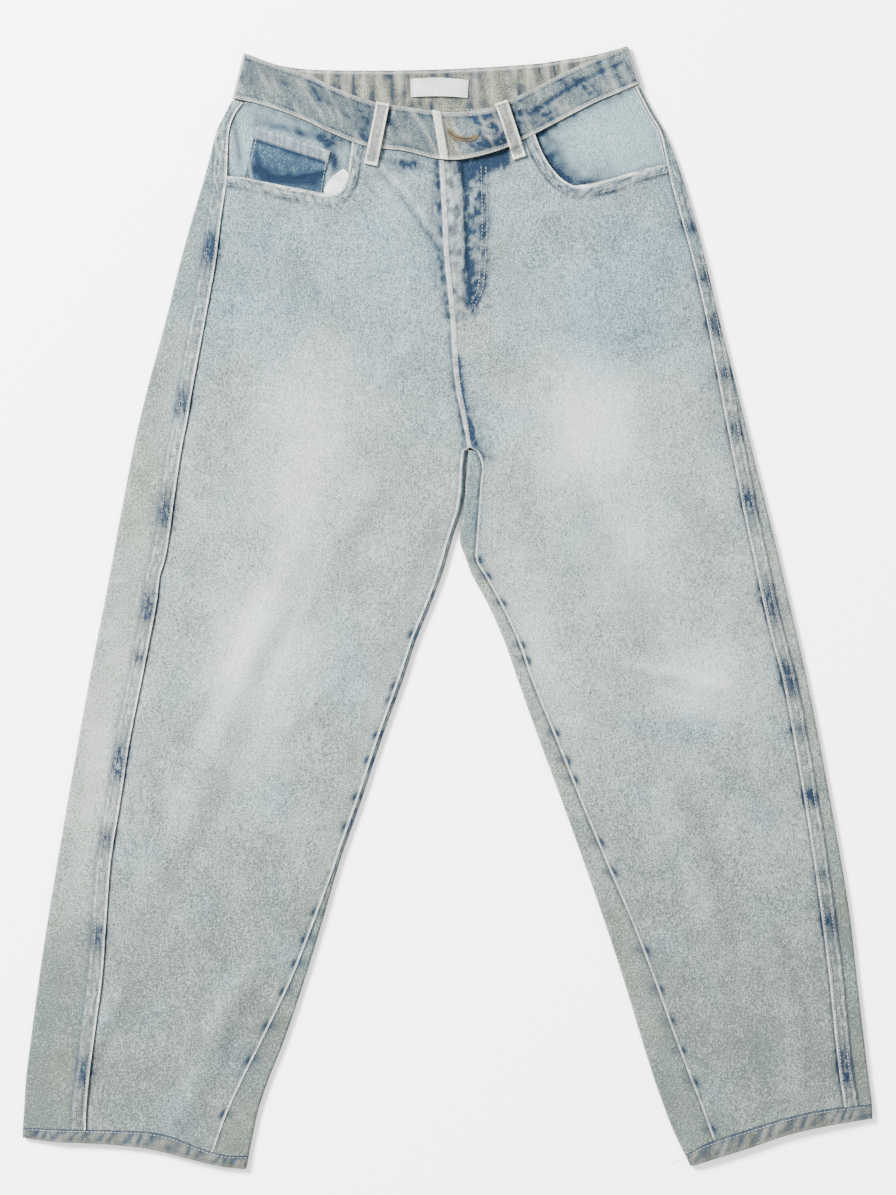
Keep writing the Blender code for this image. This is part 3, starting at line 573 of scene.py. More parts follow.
def denim(name, grey, blue, worn, icy, indigo_and_shade, ridge):
    """Washed denim twill: uneven yarn grain and diagonal twill lines over the wear.

    Unworn cloth runs from grey to blue, and bleached cloth from worn to icy. The indigo colour is the
    deep blue of dye left in creases, also used for painted shade along seams, creases and raised
    edges, and ridge the colour of edges rubbed white.
    """
    finish, tree, shader = cloth_shader(name, 0.92, 0.02)
    place = add(tree, "ShaderNodeTexCoord").outputs["Object"]
    wear_and_shade = add(tree, "ShaderNodeAttribute", attribute_name="wear_and_shade")
    parts = add(tree, "ShaderNodeSeparateColor", {"Color": wear_and_shade.outputs["Color"]})

    # Yarn grain, about 1.3 mm. Real yarns are 0.6 mm, too fine for the picture, so they are
    # drawn coarser: it gives the salt-and-pepper look of washed denim.
    fine = add(tree, "ShaderNodeTexNoise", {"Vector": place, "Scale": 760.0, "Detail": 1.0})
    # Slubs, thicker yarns, 1.3 mm wide and 6 mm long down the leg
    stretched = add(tree, "ShaderNodeMapping", {"Vector": place, "Scale": (760.0, 170.0, 200.0)})
    slub = add(tree, "ShaderNodeTexNoise", {"Vector": stretched.outputs[0], "Scale": 1.0})
    # Twill lines, 2.2 mm apart, drawn coarser than the real 1 mm, broken up by the washing
    twill_inputs = {"Vector": place, "Scale": 200.0, "Distortion": 2.5, "Detail": 2.0}
    twill = add(tree, "ShaderNodeTexWave", twill_inputs, bands_direction="DIAGONAL")
    # Cloudy unevenness from the stone wash, 30 mm
    cloud = add(tree, "ShaderNodeTexNoise", {"Vector": place, "Scale": 34.0, "Detail": 4.0})

    mottled = scaled(tree, fine.outputs["Fac"], -0.75, 0.75)
    slubbed = scaled(tree, slub.outputs["Fac"], -0.3, 0.3)
    clouded = scaled(tree, cloud.outputs["Fac"], -0.16, 0.16)
    uneven = add(tree, "ShaderNodeMath", {0: mottled, 1: slubbed}).outputs["Value"]
    uneven = add(tree, "ShaderNodeMath", {0: uneven, 1: clouded}).outputs["Value"]

    ground = mixed(tree, parts.outputs["Green"], linear(grey), linear(blue))
    bleached = mixed(tree, parts.outputs["Green"], linear(worn), linear(icy))
    white = summed(tree, parts.outputs["Red"], uneven)
    ground = mixed(tree, white, ground, bleached)
    # The deep blue shows through in specks, strongest in the creases, for dye left there and for
    # painted shade
    specks = scaled(tree, fine.outputs["Fac"], 0.48, 1.6)
    ink = summed(tree, parts.outputs["Blue"], specks, "MULTIPLY")
    ground = mixed(tree, ink, ground, linear(indigo_and_shade))
    bright = scaled(tree, fine.outputs["Fac"], 0.66, 1.24)
    top = summed(tree, wear_and_shade.outputs["Alpha"], bright, "MULTIPLY")
    ground = mixed(tree, top, ground, linear(ridge))
    tree.links.new(ground, shader.inputs["Base Color"])

    weave = summed(tree, fine.outputs["Fac"], scaled(tree, twill.outputs["Fac"], -0.12, 0.12))
    relief = add(tree, "ShaderNodeBump", {"Height": weave, "Strength": 0.7, "Distance": 0.0011})
    tree.links.new(relief.outputs["Normal"], shader.inputs["Normal"])
    return finish


def in_scene(name, data):
    """A new object of the scene, made from a mesh, a lamp or a camera."""
    made = bpy.data.objects.new(name, data)
    bpy.context.scene.collection.objects.link(made)
    return made


def shell(name, grid, finish, closed=False):
    """A closed thin shell. Each place of the grid has an inner point, an outer point and its wear.

    A place that is None leaves the cells round it out.
    """
    rows = len(grid)
    columns = len(grid[0])
    count = rows * columns
    blank = ((0.0, 0.0, 0.0), (0.0, 0.0, 0.0), NO_WEAR)
    places = [place or blank for row in grid for place in row]
    points = [[c * MM for c in place[side]] for side in (0, 1) for place in places]
    marks = [place[2] for place in places] * 2
    faces = []
    rim = set()
    for i in range(rows - 1):
        for j in range(columns if closed else columns - 1):
            k = (j + 1) % columns
            if not (grid[i][j] and grid[i][k] and grid[i + 1][k] and grid[i + 1][j]):
                continue
            near = i * columns + j
            beside = i * columns + k
            loop = (near, beside, beside + columns, near + columns)
            faces.append(tuple(count + v for v in loop))
            faces.append(loop[::-1])
            for start, end in zip(loop, loop[1:] + loop[:1]):
                if (end, start) in rim:
                    rim.remove((end, start))
                else:
                    rim.add((start, end))
    for start, end in sorted(rim):
        faces.append((count + end, count + start, start, end))
    data = bpy.data.meshes.new(name)
    data.from_pydata(points, [], faces)
    layer = data.attributes.new("wear_and_shade", "FLOAT_COLOR", "POINT")
    layer.data.foreach_set("color", [value for mark in marks for value in mark])
    work = bmesh.new()
    work.from_mesh(data)
    bmesh.ops.delete(work, geom=[v for v in work.verts if not v.link_faces], context="VERTS")
    bmesh.ops.recalc_face_normals(work, faces=work.faces)
    work.to_mesh(data)
    work.free()
    data.shade_smooth()
    data.set_sharp_from_angle(angle=math.radians(50))
    data.materials.append(finish)
    return in_scene(name, data)


def laid(piece, node):
    """Attaches a cut piece of cloth that lies on the table or on other pieces to the root body, and
    hides its part.
    """
    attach(piece, "root")
    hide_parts(node)


# Topstitching
# Thick cotton thread in a long lockstitch, worn pale. Each row is a line on the cloth that Geometry
# Nodes set with stitches. A turned row makes the close bars of a bar tack or a buttonhole.

# How far a stitch strays from its line either way, in radians
WOBBLE = 0.09


def stitch_nodes():
    """The node tree that sets beads of thread along lines, evenly and each a little turned."""
    tree = bpy.data.node_groups.new("row of stitches", "GeometryNodeTree")
    sockets = tree.interface
    sockets.new_socket(name="Lines", in_out="INPUT", socket_type="NodeSocketGeometry")
    for name in ("Spacing", "Length", "Width", "Height", "Turn"):
        sockets.new_socket(name=name, in_out="INPUT", socket_type="NodeSocketFloat")
    sockets.new_socket(name="Seed", in_out="INPUT", socket_type="NodeSocketInt")
    sockets.new_socket(name="Thread", in_out="INPUT", socket_type="NodeSocketMaterial")
    sockets.new_socket(name="Stitches", in_out="OUTPUT", socket_type="NodeSocketGeometry")
    given = add(tree, "NodeGroupInput").outputs
    line = add(tree, "GeometryNodeMeshToCurve", {"Mesh": given["Lines"]})
    inputs = {"Curve": line.outputs["Curve"], "Length": given["Spacing"]}
    spaced = add(tree, "GeometryNodeResampleCurve", inputs, mode="LENGTH")
    bead = add(tree, "GeometryNodeMeshIcoSphere", {"Radius": 0.5, "Subdivisions": 2})
    inputs = {"X": given["Length"], "Y": given["Width"], "Z": given["Height"]}
    size = add(tree, "ShaderNodeCombineXYZ", inputs)
    inputs = {"Geometry": bead.outputs["Mesh"], "Scale": size.outputs["Vector"]}
    stitch = add(tree, "GeometryNodeTransform", inputs)
    tangent = add(tree, "GeometryNodeInputTangent")
    inputs = {"Vector": tangent.outputs[0]}
    aimed = add(tree, "FunctionNodeAlignRotationToVector", inputs, axis="X")
    inputs = {
        "Points": spaced.outputs["Curve"],
        "Instance": stitch.outputs["Geometry"],
        "Rotation": aimed.outputs["Rotation"],
    }
    placed = add(tree, "GeometryNodeInstanceOnPoints", inputs)
    # Inputs 2 and 3 are the least and the most of a plain number
    inputs = {2: -WOBBLE, 3: WOBBLE, "Seed": given["Seed"]}
    wobble = add(tree, "FunctionNodeRandomValue", inputs, data_type="FLOAT")
    turned = add(tree, "ShaderNodeMath", {0: given["Turn"], 1: wobble.outputs[1]})
    angle = add(tree, "ShaderNodeCombineXYZ", {"Z": turned.outputs["Value"]})
    inputs = {"Instances": placed.outputs["Instances"], "Rotation": angle.outputs["Vector"]}
    lain = add(tree, "GeometryNodeRotateInstances", inputs)
    real = add(tree, "GeometryNodeRealizeInstances", {"Geometry": lain.outputs["Instances"]})
    inputs = {"Geometry": real.outputs["Geometry"], "Material": given["Thread"]}
    dyed = add(tree, "GeometryNodeSetMaterial", inputs)
    add(tree, "NodeGroupOutput", {"Stitches": dyed.outputs["Geometry"]})
    return tree


STITCHES = stitch_nodes()


def thread(name, pale, dark):
    """Spun cotton thread: its colour wanders a little along the row."""
    finish, tree, shader = cloth_shader(name, 0.8, 0.02)
    place = add(tree, "ShaderNodeTexCoord").outputs["Object"]
    patch = add(tree, "ShaderNodeTexNoise", {"Vector": place, "Scale": 90.0})
    color = mixed(tree, scaled(tree, patch.outputs["Fac"], -0.5, 1.5), linear(dark), linear(pale))
    tree.links.new(color, shader.inputs["Base Color"])
    return finish


pale_thread = thread("washed cotton topstitch thread", "#868782", "#4c5558")
tan_thread = thread("tan buttonhole thread", "#5d5138", "#39322a")


def stitched(name, lines, finish=None, spacing=3.3, length=2.6, width=0.75, height=0.5, turn=0.0):
    """Rows of stitches along lines of points in mm, as one finished mesh."""
    points = []
    edges = []
    for line in lines:
        first = len(points)
        points += [(x * MM, y * MM, z * MM) for x, y, z in line]
        edges += [(first + i, first + i + 1) for i in range(len(line) - 1)]
    data = bpy.data.meshes.new(name)
    data.from_pydata(points, edges, [])
    piece = in_scene(name, data)
    modifier = piece.modifiers.new("stitches", "NODES")
    modifier.node_group = STITCHES
    values = {
        "Spacing": spacing * MM,
        "Length": length * MM,
        "Width": width * MM,
        "Height": height * MM,
        "Turn": math.radians(turn),
        "Seed": 7,
        "Thread": finish or pale_thread,
    }
    for item in STITCHES.interface.items_tree:
        if item.name in values:
            modifier[item.identifier] = values[item.name]
    piece.update_tag()
    graph = bpy.context.evaluated_depsgraph_get()
    made = bpy.data.meshes.new_from_object(piece.evaluated_get(graph))
    piece.modifiers.remove(modifier)
    piece.data = made
    made.name = name
    made.shade_smooth()
    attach(piece, "root")
    return piece


def levels(low, high, step=4.0):
    """Even places from one end to the other, about a step apart."""
    return steps(low, high, max(2, int(abs(high - low) / step)))


# Front panels
# Faded denim, each one piece from inseam to side seam with a scooped pocket mouth, turned and
# double-stitched. The left one carries the raised fly; both are felled into the side seams.
INSEAM_SPOTS = {
    "right": (-24, -72, -85, -117, -140, -174, -202, -280, -305, -327, -353, -385, -416, -466),
    "left": (44, 30, 5, -34, -48, -115, -140, -158, -216, -243, -315, -351, -380, -407, -436, -480),
}
SIDE_SPOTS = {
    "right": table(
        "y reach ink",
        (329, 16, 1.0),
        (190, 15, 0.75),
        (90, 20, 0.7),
        (1, 18, 0.7),
        (-45, 8, 0.5),
        (-142, 22, 0.75),
        (-213, 11, 0.5),
        (-303, 13, 0.6),
        (-427, 18, 0.6),
    ),
    "left": table(
        "y reach ink",
        (351, 7, 0.6),
        (304, 9, 0.6),
        (260, 11, 0.7),
        (217, 8, 0.6),
        (164, 11, 0.6),
        (99, 16, 0.7),
        (5, 22, 0.7),
        (-64, 17, 1.0),
        (-112, 7, 0.6),
        (-174, 9, 1.0),
        (-245, 7, 0.5),
        (-289, 18, 0.7),
        (-423, 18, 0.9),
    ),
}
FLY_LOW = 272.0
FLY_WIDTH = 17.0
FLY_RISE = 1.2
MOUTH_RISE = 1.9
MOUTH_REACH = 32.0
# Mesh of a front panel: close cells beside the front seam and the side seam, their width, the cells
# between them, and the rows that end on the pocket mouth
FRONT_SEAM_CELLS = 18
SIDE_SEAM_CELLS = 8
CLOSE_STEP = 1.25
MIDDLE_CELLS = 52
MOUTH_ROWS = 28
FRONT_MARKS = strokes(
    (3.2, 0.9, 0.0, -0.9, [(15.6, 410), (17.2, 372), (18.1, 339), (18.1, 307), (17.2, 278)]),
    (6.5, 0.6, 0.0, -0.3, [(21, 326), (25, 300), (23, 282)]),
    (7.5, 2.0, 0.0, 0.0, [(8, 408), (24, 405), (50, 414)]),
    (9.0, 0.5, 0.0, 0.0, [(22, 396), (30, 372), (31, 345)]),
    (5.0, 0.6, 0.0, 0.0, [(-70, 414), (-48, 410), (-30, 409)]),
    (4.0, 0.35, 0.0, -0.3, [(36, 402), (37, 356), (35, 324), (32, 293), (20, 272)]),
    # Painted shadow: the dark line along the front seam down to the crotch
    (2.6, 1.1, 0.0, -0.5, [(9, 230), (12, 205), (17, 180), (22, 163), (27, 146)]),
    (6.0, 0.3, 0.0, -0.2, [(12, 225), (17, 195), (25, 165), (34, 140)]),
    # Crotch creases, this row and the next: dark lines, partly dye and partly painted shade
    (2.0, 0.9, 0.0, -0.8, [(20, 129), (26, 127), (32, 121)]),
    (2.2, 0.6, 0.0, -0.6, [(24, 143), (32, 141), (42, 137)]),
    (2.2, 0.5, 0.0, -0.4, [(13, 190), (14, 160), (16, 130), (13, 92), (4, 62)]),
    (4.0, 0.5, 0.0, -0.4, [(3, 268), (9, 266), (17, 270)]),
    # Painted shade in the drag crease from the right pocket towards the fly
    (2.4, 0.34, 0.0, -0.9, [(-66, 404), (-40, 376), (-8, 330)]),
    (3.0, 0.0, 0.12, 0.6, [(-62, 408), (-35, 381), (-4, 336)]),
    (7.0, 0.22, 0.0, -0.3, [(-12, 390), (-14, 350), (-10, 300)]),
    # Painted shadow on the right panel beside the fly's raised edge
    (4.5, 0.55, 0.0, -0.3, [(-8, 408), (-7, 360), (-5, 310), (-1, 270)]),
    (4.0, 0.4, 0.0, -0.4, [(3, 250), (6, 215), (12, 180), (19, 158)]),
    (5.0, 0.3, 0.0, -0.3, [(-80, 392), (-62, 398), (-40, 404), (-16, 404)]),
    (3.5, 0.35, 0.0, -0.3, [(8, 400), (9, 370), (8, 330), (10, 290)]),
    (3.0, 0.5, 0.0, -0.3, [(6, 352), (12, 346), (20, 350)]),
    (3.0, 0.5, 0.0, -0.3, [(5, 318), (12, 310), (22, 313)]),
    (2.6, 0.45, 0.0, -0.3, [(30, 330), (40, 316), (34, 300)]),
    (5.0, 0.2, 0.0, 0.0, [(78, 420), (98, 392), (118, 380), (150, 386)]),
    (2.6, 0.05, 0.15, 0.5, [(165, -52), (214, -58), (262, -71)]),
    (2.2, 0.1, 0.0, -0.4, [(172, -62), (220, -68), (256, -80)]),
    (2.4, 0.08, 0.0, -0.4, [(-126, -98), (-117, -112), (-106, -121)]),
    # Painted shade along the big soft fold of the right thigh, and the same in the two hip creases
    # after it
    (7.0, 0.05, 0.0, -0.6, [(-112, 48), (-190, -90), (-262, -230)]),
    (4.0, 0.06, 0.0, -0.5, [(-120, 235), (-90, 205), (-52, 190)]),
    (4.0, 0.06, 0.0, -0.5, [(50, 230), (84, 206), (128, 198)]),
)
denim_front = denim(
    "washed denim twill, fronts",
    grey="#414743",
    blue="#33444c",
    worn="#8d9490",
    icy="#7c9198",
    indigo_and_shade="#111e2d",
    ridge="#b2b3ad",
)


def side_ink(leg, y):
    """Indigo left along a side seam at a level."""
    total = 0.0
    for spot in SIDE_SPOTS[leg.name]:
        total += spot["ink"] * bump_at(y - spot["y"], spot["reach"])
    return min(total, 1.0)


def inseam_ink(leg, y):
    """Indigo left in the dots along an inseam at a level."""
    total = 0.0
    for spot in INSEAM_SPOTS[leg.name]:
        total += bump_at(y - spot, 4.5)
    return min(total, 1.0)


def front_height(leg, x, y):
    """Inner face of a front panel, with the raised fly on the left one."""
    height = TOP + lift(leg, x, y)
    height += MOUTH_RISE * (1 - smooth(mouth_distance(leg, x, y) / MOUTH_REACH))
    if leg.out > 0:
        from_seam = x - leg.inseam_line(y)
        fly = 1 - smooth((from_seam - FLY_WIDTH) / 3)
        height += FLY_RISE * fly * smooth((y - FLY_LOW) / 10)
    return height


def front_detail(leg, x, y):
    """Height of the small relief of a front panel, and its wear."""
    from_in = (x - leg.inseam(y)) * leg.out
    from_side = (leg.side(y) - x) * leg.out
    from_mouth = mouth_distance(leg, x, y)
    from_waist = waist(x) - y
    fade, blue = faded(x, y)
    indigo_and_shade, pale, rise = drawn(FRONT_MARKS, x, y)
    indigo_and_shade *= 0.45 + 1.1 * rough(x, y, 3.2, 4.5, 19.0)
    rise += 0.35 * (rough(x, y, 34, 60, 1.0) - 0.5) + 0.16 * (rough(x, y, 9, 12, 2.0) - 0.5)
    wavy = rough(0, y, 1, 6.5, 4.0 + leg.out)

    # Inseam or front seam: a worn ridge with puckers and indigo dots beside it
    rise += 0.35 * bump_at(from_in - 0.8, 1.0) - 0.3 * bump_at(from_in - 3.2, 1.5)
    rise += 0.9 * (wavy - 0.5) * bump_at(from_in - 2, 7)
    pale += (0.25 + 0.7 * wavy) * bump_at(from_in - 0.7, 1.0)
    # Painted shade: the dark line in the groove beside the ridge
    indigo_and_shade += 0.55 * rough(x, y, 3, 9, 5.0) * bump_at(from_in - 2.8, 1.3)
    if y < CROTCH:
        indigo_and_shade += 0.95 * inseam_ink(leg, y) * bump_at(from_in - 4.0, 3.0)

    # Side seam, below the pocket
    if y < leg.mouth_low:
        wavy = rough(0, y, 1, 7.5, 6.0 + leg.out)
        rise += 0.9 * (wavy - 0.5) * bump_at(from_side, 8) - 0.35 * bump_at(from_side, 1.4)
        indigo_and_shade += 1.3 * side_ink(leg, y) * rough(x, y, 3.5, 5, 9.0) * bump_at(from_side - 1, 5)
        # Painted shadow: a thin dark line where the raised felled band shades the front panel
        indigo_and_shade += (0.3 + 0.5 * wavy) * bump_at(from_side - 0.8, 1.1)

    # Pocket mouth: turned edge, worn white, with two rows of stitches
    if from_mouth < 24:
        wavy = rough(x, y, 5.5, 5.5, 7.0)
        inside = 1 - smooth((from_mouth - 8) / 2)
        rise += 0.5 * inside + 0.5 * (wavy - 0.5) * inside
        rise -= 0.3 * bump_at(from_mouth - 2.2, 0.9) + 0.3 * bump_at(from_mouth - 8, 1.0)
        pale += (0.3 + 0.6 * wavy) * bump_at(from_mouth - 0.6, 0.9)
        nicked = rough(x, y, 2.8, 2.8, 27.0)
        pale += 0.2 * smooth((nicked - 0.5) / 0.2) * inside
        indigo_and_shade += 0.5 * smooth((0.5 - nicked) / 0.25) * inside
        indigo_and_shade += 0.7 * bump_at(from_mouth - 2.6, 0.8)
        indigo_and_shade += (0.3 + 0.5 * wavy) * bump_at(from_mouth - 7.4, 0.8)
        indigo_and_shade += (0.45 + 0.5 * wavy) * bump_at(from_mouth - 10.0, 1.2)

    # Waist seam: a painted shadow line under the band's lower edge, and puckers
    wavy = rough(x, 0, 6, 1, 11.0)
    indigo_and_shade += (0.25 + 0.5 * wavy) * bump_at(from_waist - 1.5, 2.6)
    rise += 0.5 * (wavy - 0.5) * bump_at(from_waist - 2, 6)

    # Fly: raised strip, its edge worn white, and the stitch field beside it
    if leg.out > 0 and y > FLY_LOW - 6:
        wavy = rough(x, y, 5, 7, 12.0)
        field = smooth((40 - from_in) / 4) * smooth((from_in - 16) / 3)
        indigo_and_shade += 0.5 * smooth((wavy - 0.4) / 0.3) * field
        strip = smooth((15 - from_in) / 2) * smooth((from_in - 1) / 2)
        indigo_and_shade += 0.8 * smooth((rough(x, y, 6, 9, 18.0) - 0.52) / 0.2) * strip
        pale += 0.18 * (1 - wavy) * strip
    return rise, limited(fade, blue, indigo_and_shade, pale)


def spread(start, end):
    """Places across a front panel, close together beside both seams."""
    way = 1 if end > start else -1
    width = abs(end - start)
    middle = steps(FRONT_SEAM_CELLS * CLOSE_STEP, width - SIDE_SEAM_CELLS * CLOSE_STEP, MIDDLE_CELLS)
    places = [i * CLOSE_STEP for i in range(FRONT_SEAM_CELLS)] + middle[:-1]
    places += [width - (SIDE_SEAM_CELLS - i) * CLOSE_STEP for i in range(SIDE_SEAM_CELLS + 1)]
    return [start + way * distance for distance in places]


def panel_row(inner_x, side_x, level_at):
    return [(x, level_at(x)) for x in spread(inner_x, side_x)]


def front_grid(leg):
    """Plan points of a front panel: leg, hip, and the rows that end on the pocket mouth."""
    out = leg.out
    grid = []
    for level in levels(leg.hem_level, BELOW_CROTCH, 3.0):
        row = hem_row(leg, level)
        inner_x = meet(leg.inseam, row) + out * GAP / 2
        side_x = meet(leg.side, row) - out * GAP / 2
        grid.append(panel_row(inner_x, side_x, row))
    hip = levels(CROTCH, leg.mouth_low, 3.0)
    for level, inner_y in zip(hip, steps(CROTCH, FLY_MID, len(hip) - 1)):
        inner_x = leg.inseam_line(inner_y) + out * GAP / 2
        side_x = leg.side(level) - out * GAP / 2

        def slanted(x, low=inner_y, high=level, start=inner_x, width=side_x - inner_x):
            return mix(low, high, (x - start) / width)

        grid.append(panel_row(inner_x, side_x, slanted))
    front_top_y = waist(leg.inseam_line(FLY_TOP)) - SEAM_ROOM
    mouth_top = leg.mouth(1.0)
    for share in steps(0, 1, MOUTH_ROWS)[1:]:
        side_x, side_y = leg.mouth(share)
        inner_y = mix(FLY_MID, front_top_y, share)
        inner_x = leg.inseam_line(inner_y) + out * GAP / 2
        side_y += share**4 * (waist(mouth_top[0]) - SEAM_ROOM - mouth_top[1])
        row = []
        for x in spread(inner_x, side_x):
            along = (x - inner_x) / (side_x - inner_x)
            chord = mix(waist(inner_x), waist(side_x), along)
            y = mix(inner_y, side_y, along) + share**3 * (waist(x) - chord)
            row.append((x, y))
        grid.append(row)
    return grid


def over_grid(name, grid, height, thickness, detail, finish):
    """A thin shell over plan points: height(x, y) is its inner face."""

    def place(x, y):
        z = height(x, y)
        rise, worn = detail(x, y)
        return (x, y, z), (x, y, z + thickness + rise), worn

    return shell(name, [[place(x, y) for x, y in row] for row in grid], finish)


def offset_mouth(leg, distance):
    """The mouth's edge moved down and towards the front seam by a distance."""
    line = []
    for (x, y), (ahead_x, ahead_y) in zip(leg.mouth_points, leg.mouth_points[1:]):
        run_x = ahead_x - x
        run_y = ahead_y - y
        run = math.hypot(run_x, run_y)
        px = x - leg.out * run_y / run * distance
        py = y + leg.out * run_x / run * distance
        if py < waist(px) - 2 and (leg.side(py) - px) * leg.out > 0.5:
            line.append((px, py))
    return line


def on_front(leg, line):
    """A line of thread on a front panel."""
    raised = []
    for x, y in line:
        z = front_height(leg, x, y) + DENIM + front_detail(leg, x, y)[0]
        raised.append((x, y, z + THREAD_RISE))
    return raised


for leg in (RIGHT, LEFT):
    front = over_grid(
        f"{leg.name}_front_panel",
        front_grid(leg),
        lambda x, y: front_height(leg, x, y),
        DENIM,
        lambda x, y: front_detail(leg, x, y),
        denim_front,
    )
    rows = [on_front(leg, offset_mouth(leg, distance)) for distance in (2.2, 8.0)]
    if leg.out > 0:
        # Two rows beside the crotch seam, one along the fly's edge and the fly's curved double row
        for distance in (2.4, 9.0):
            seam = [(leg.inseam(y) + distance, y) for y in levels(262, 158)]
            rows.append(on_front(leg, seam))
        rows.append(on_front(leg, [(leg.inseam(y) + 2.2, y) for y in levels(409, 276)]))
        fly = spline([268, 282, 294, 324, 356, 406], [17, 27, 32.5, 35, 36.8, 35.5])
        rows.append(on_front(leg, [(fly(y), y) for y in levels(405, 268, 3)]))
        rows.append(on_front(leg, [(fly(y) - 4.5, y) for y in levels(405, 282, 3)]))
    on_it = [stitched(f"{leg.name}_front_stitches", rows)]
    if leg.out > 0:
        tacks = [
            on_front(leg, [(1.5 + i, 278 - 0.32 * i) for i in range(18)]),
            on_front(leg, [(leg.inseam(y) + 5, y) for y in levels(246, 238, 1)]),
        ]
        bars = stitched("fly_bar_tacks", tacks, spacing=0.8, length=3.2, width=0.6, turn=90)
        on_it.append(bars)
    node = f"front_{leg.name}"
    laid(front, node)


# Back panels and yokes
# The same denim, less rubbed: each back panel lies on the table and rolls over the leg's outer edge
# up to the side seam, where its allowance is turned back and stitched down in a raised band.

# Cells across a back panel: the felled band, from there to the roll, each roll, the stretch on the
# table, and from the inner roll to the inseam
FELL_CELLS = 12
ROLL_CELLS = 8
EDGE_PARTS = 7
TABLE_CELLS = 24
INSEAM_CELLS = 10
denim_back = denim(
    "washed denim twill, backs",
    grey="#414742",
    blue="#33434a",
    worn="#8b9189",
    icy="#7b8f94",
    indigo_and_shade="#111e2d",
    ridge="#b2b3ad",
)


def back_detail(leg, x, y, top):
    """Relief and wear of the back panels, on top of the leg or on the table."""
    fade, blue = faded(x, y)
    if not top:
        return 0.0, limited(fade * 0.8, blue, 0.0, 0.0)
    rise = 0.16 * (rough(x, y, 9, 12, 2.0) - 0.5)
    indigo_and_shade = 0.0
    pale = 0.0
    from_side = (x - leg.side(y)) * leg.out
    if from_side > 0:
        fade -= 0.1
        wavy = rough(0, y, 1, 6.0, 13.0 + leg.out)
        rough_here = rough(x, y, 3.2, 5.5, 14.0)
        band = 1 - smooth((from_side - 11.5) / 2)
        rise += 1.3 * (wavy - 0.5) * band * smooth(from_side / 3)
        rise += 0.6 * (rough_here - 0.5) * band
        rise += 0.4 * bump_at(from_side - 0.9, 1.0) + 0.25 * bump_at(from_side - 11.2, 1.0)
        rise -= 0.3 * bump_at(from_side - 2.6, 0.9) + 0.3 * bump_at(from_side - 9.6, 0.9)
        broken = rough(x, y, 2.4, 3.6, 17.0)
        ink = side_ink(leg, y)
        pale += (0.25 + 0.75 * broken) * (1 - 0.4 * ink) * bump_at(from_side - 0.7, 0.9)
        pale += 0.7 * broken * wavy * (1 - 0.7 * ink) * bump_at(from_side - 11.2, 0.9)
        pale += 0.2 * smooth((rough_here - 0.55) / 0.3) * band * (1 - 0.95 * ink)
        indigo_and_shade += 1.7 * ink * smooth((rough_here - 0.16) / 0.5) * band
        indigo_and_shade += 0.3 * smooth((0.45 - rough_here) / 0.3) * band
        # Painted shadow lines beside the band's seam edge at 3 mm and just past the band at 13 mm;
        # between them, a dark line by the second stitch row at 9 mm
        indigo_and_shade += 0.8 * rough_here * bump_at(from_side - 3.0, 0.9)
        indigo_and_shade += 0.6 * wavy * bump_at(from_side - 9.2, 0.9)
        indigo_and_shade += (0.4 + 0.5 * wavy) * bump_at(from_side - 13.0, 1.1)
        indigo_and_shade += 0.5 * ink * rough_here * bump_at(from_side - 12, 6)
    elif y < CROTCH:
        from_in = (leg.inseam(y) - x) * leg.out
        wavy = rough(0, y, 1, 6.5, 15.0)
        rise += 0.8 * (wavy - 0.5) * bump_at(from_in, 7) - 0.4 * bump_at(from_in, 1.2)
        # Painted shadow: the dark line beside the inseam's ridge
        indigo_and_shade += (0.35 + 0.6 * rough(x, y, 3, 8, 16.0)) * bump_at(from_in - 1.0, 1.3)
        indigo_and_shade += 0.55 * inseam_ink(leg, y) * bump_at(from_in - 4.5, 3.5)
        fade -= 0.06
    return rise, limited(fade, blue, indigo_and_shade, pale)


def strip_spots(leg, row):
    """Places over the leg from the side seam to the outer roll, with the cloth's thickness."""
    out = leg.out
    seam = meet(leg.side, row) + out * GAP / 2
    start = meet(leg.outer, row) - out * (ROLL + DENIM)
    width = (start - seam) * out
    felled = min(FELL_WIDTH, 0.7 * width)
    step = min(1.5, 0.15 * width)
    spots = [(seam + out * felled * i / FELL_CELLS, FELLED) for i in range(FELL_CELLS + 1)]
    spots += [(x, DENIM) for x in steps(seam + out * (felled + step), start, ROLL_CELLS)]
    return spots, start


def turned_edge(center_x, center_z, radius, thickness, out, parts=EDGE_PARTS):
    """Columns that turn from the upper layer to the lower one."""
    columns = []
    for i in range(1, parts + 1):
        angle = math.pi * i / (parts + 1)
        side = math.sin(angle) * out
        up = math.cos(angle)
        near = (center_x + side * radius, center_z + up * radius)
        far = radius + thickness
        columns.append((near, (center_x + side * far, center_z + up * far), True))
    return columns


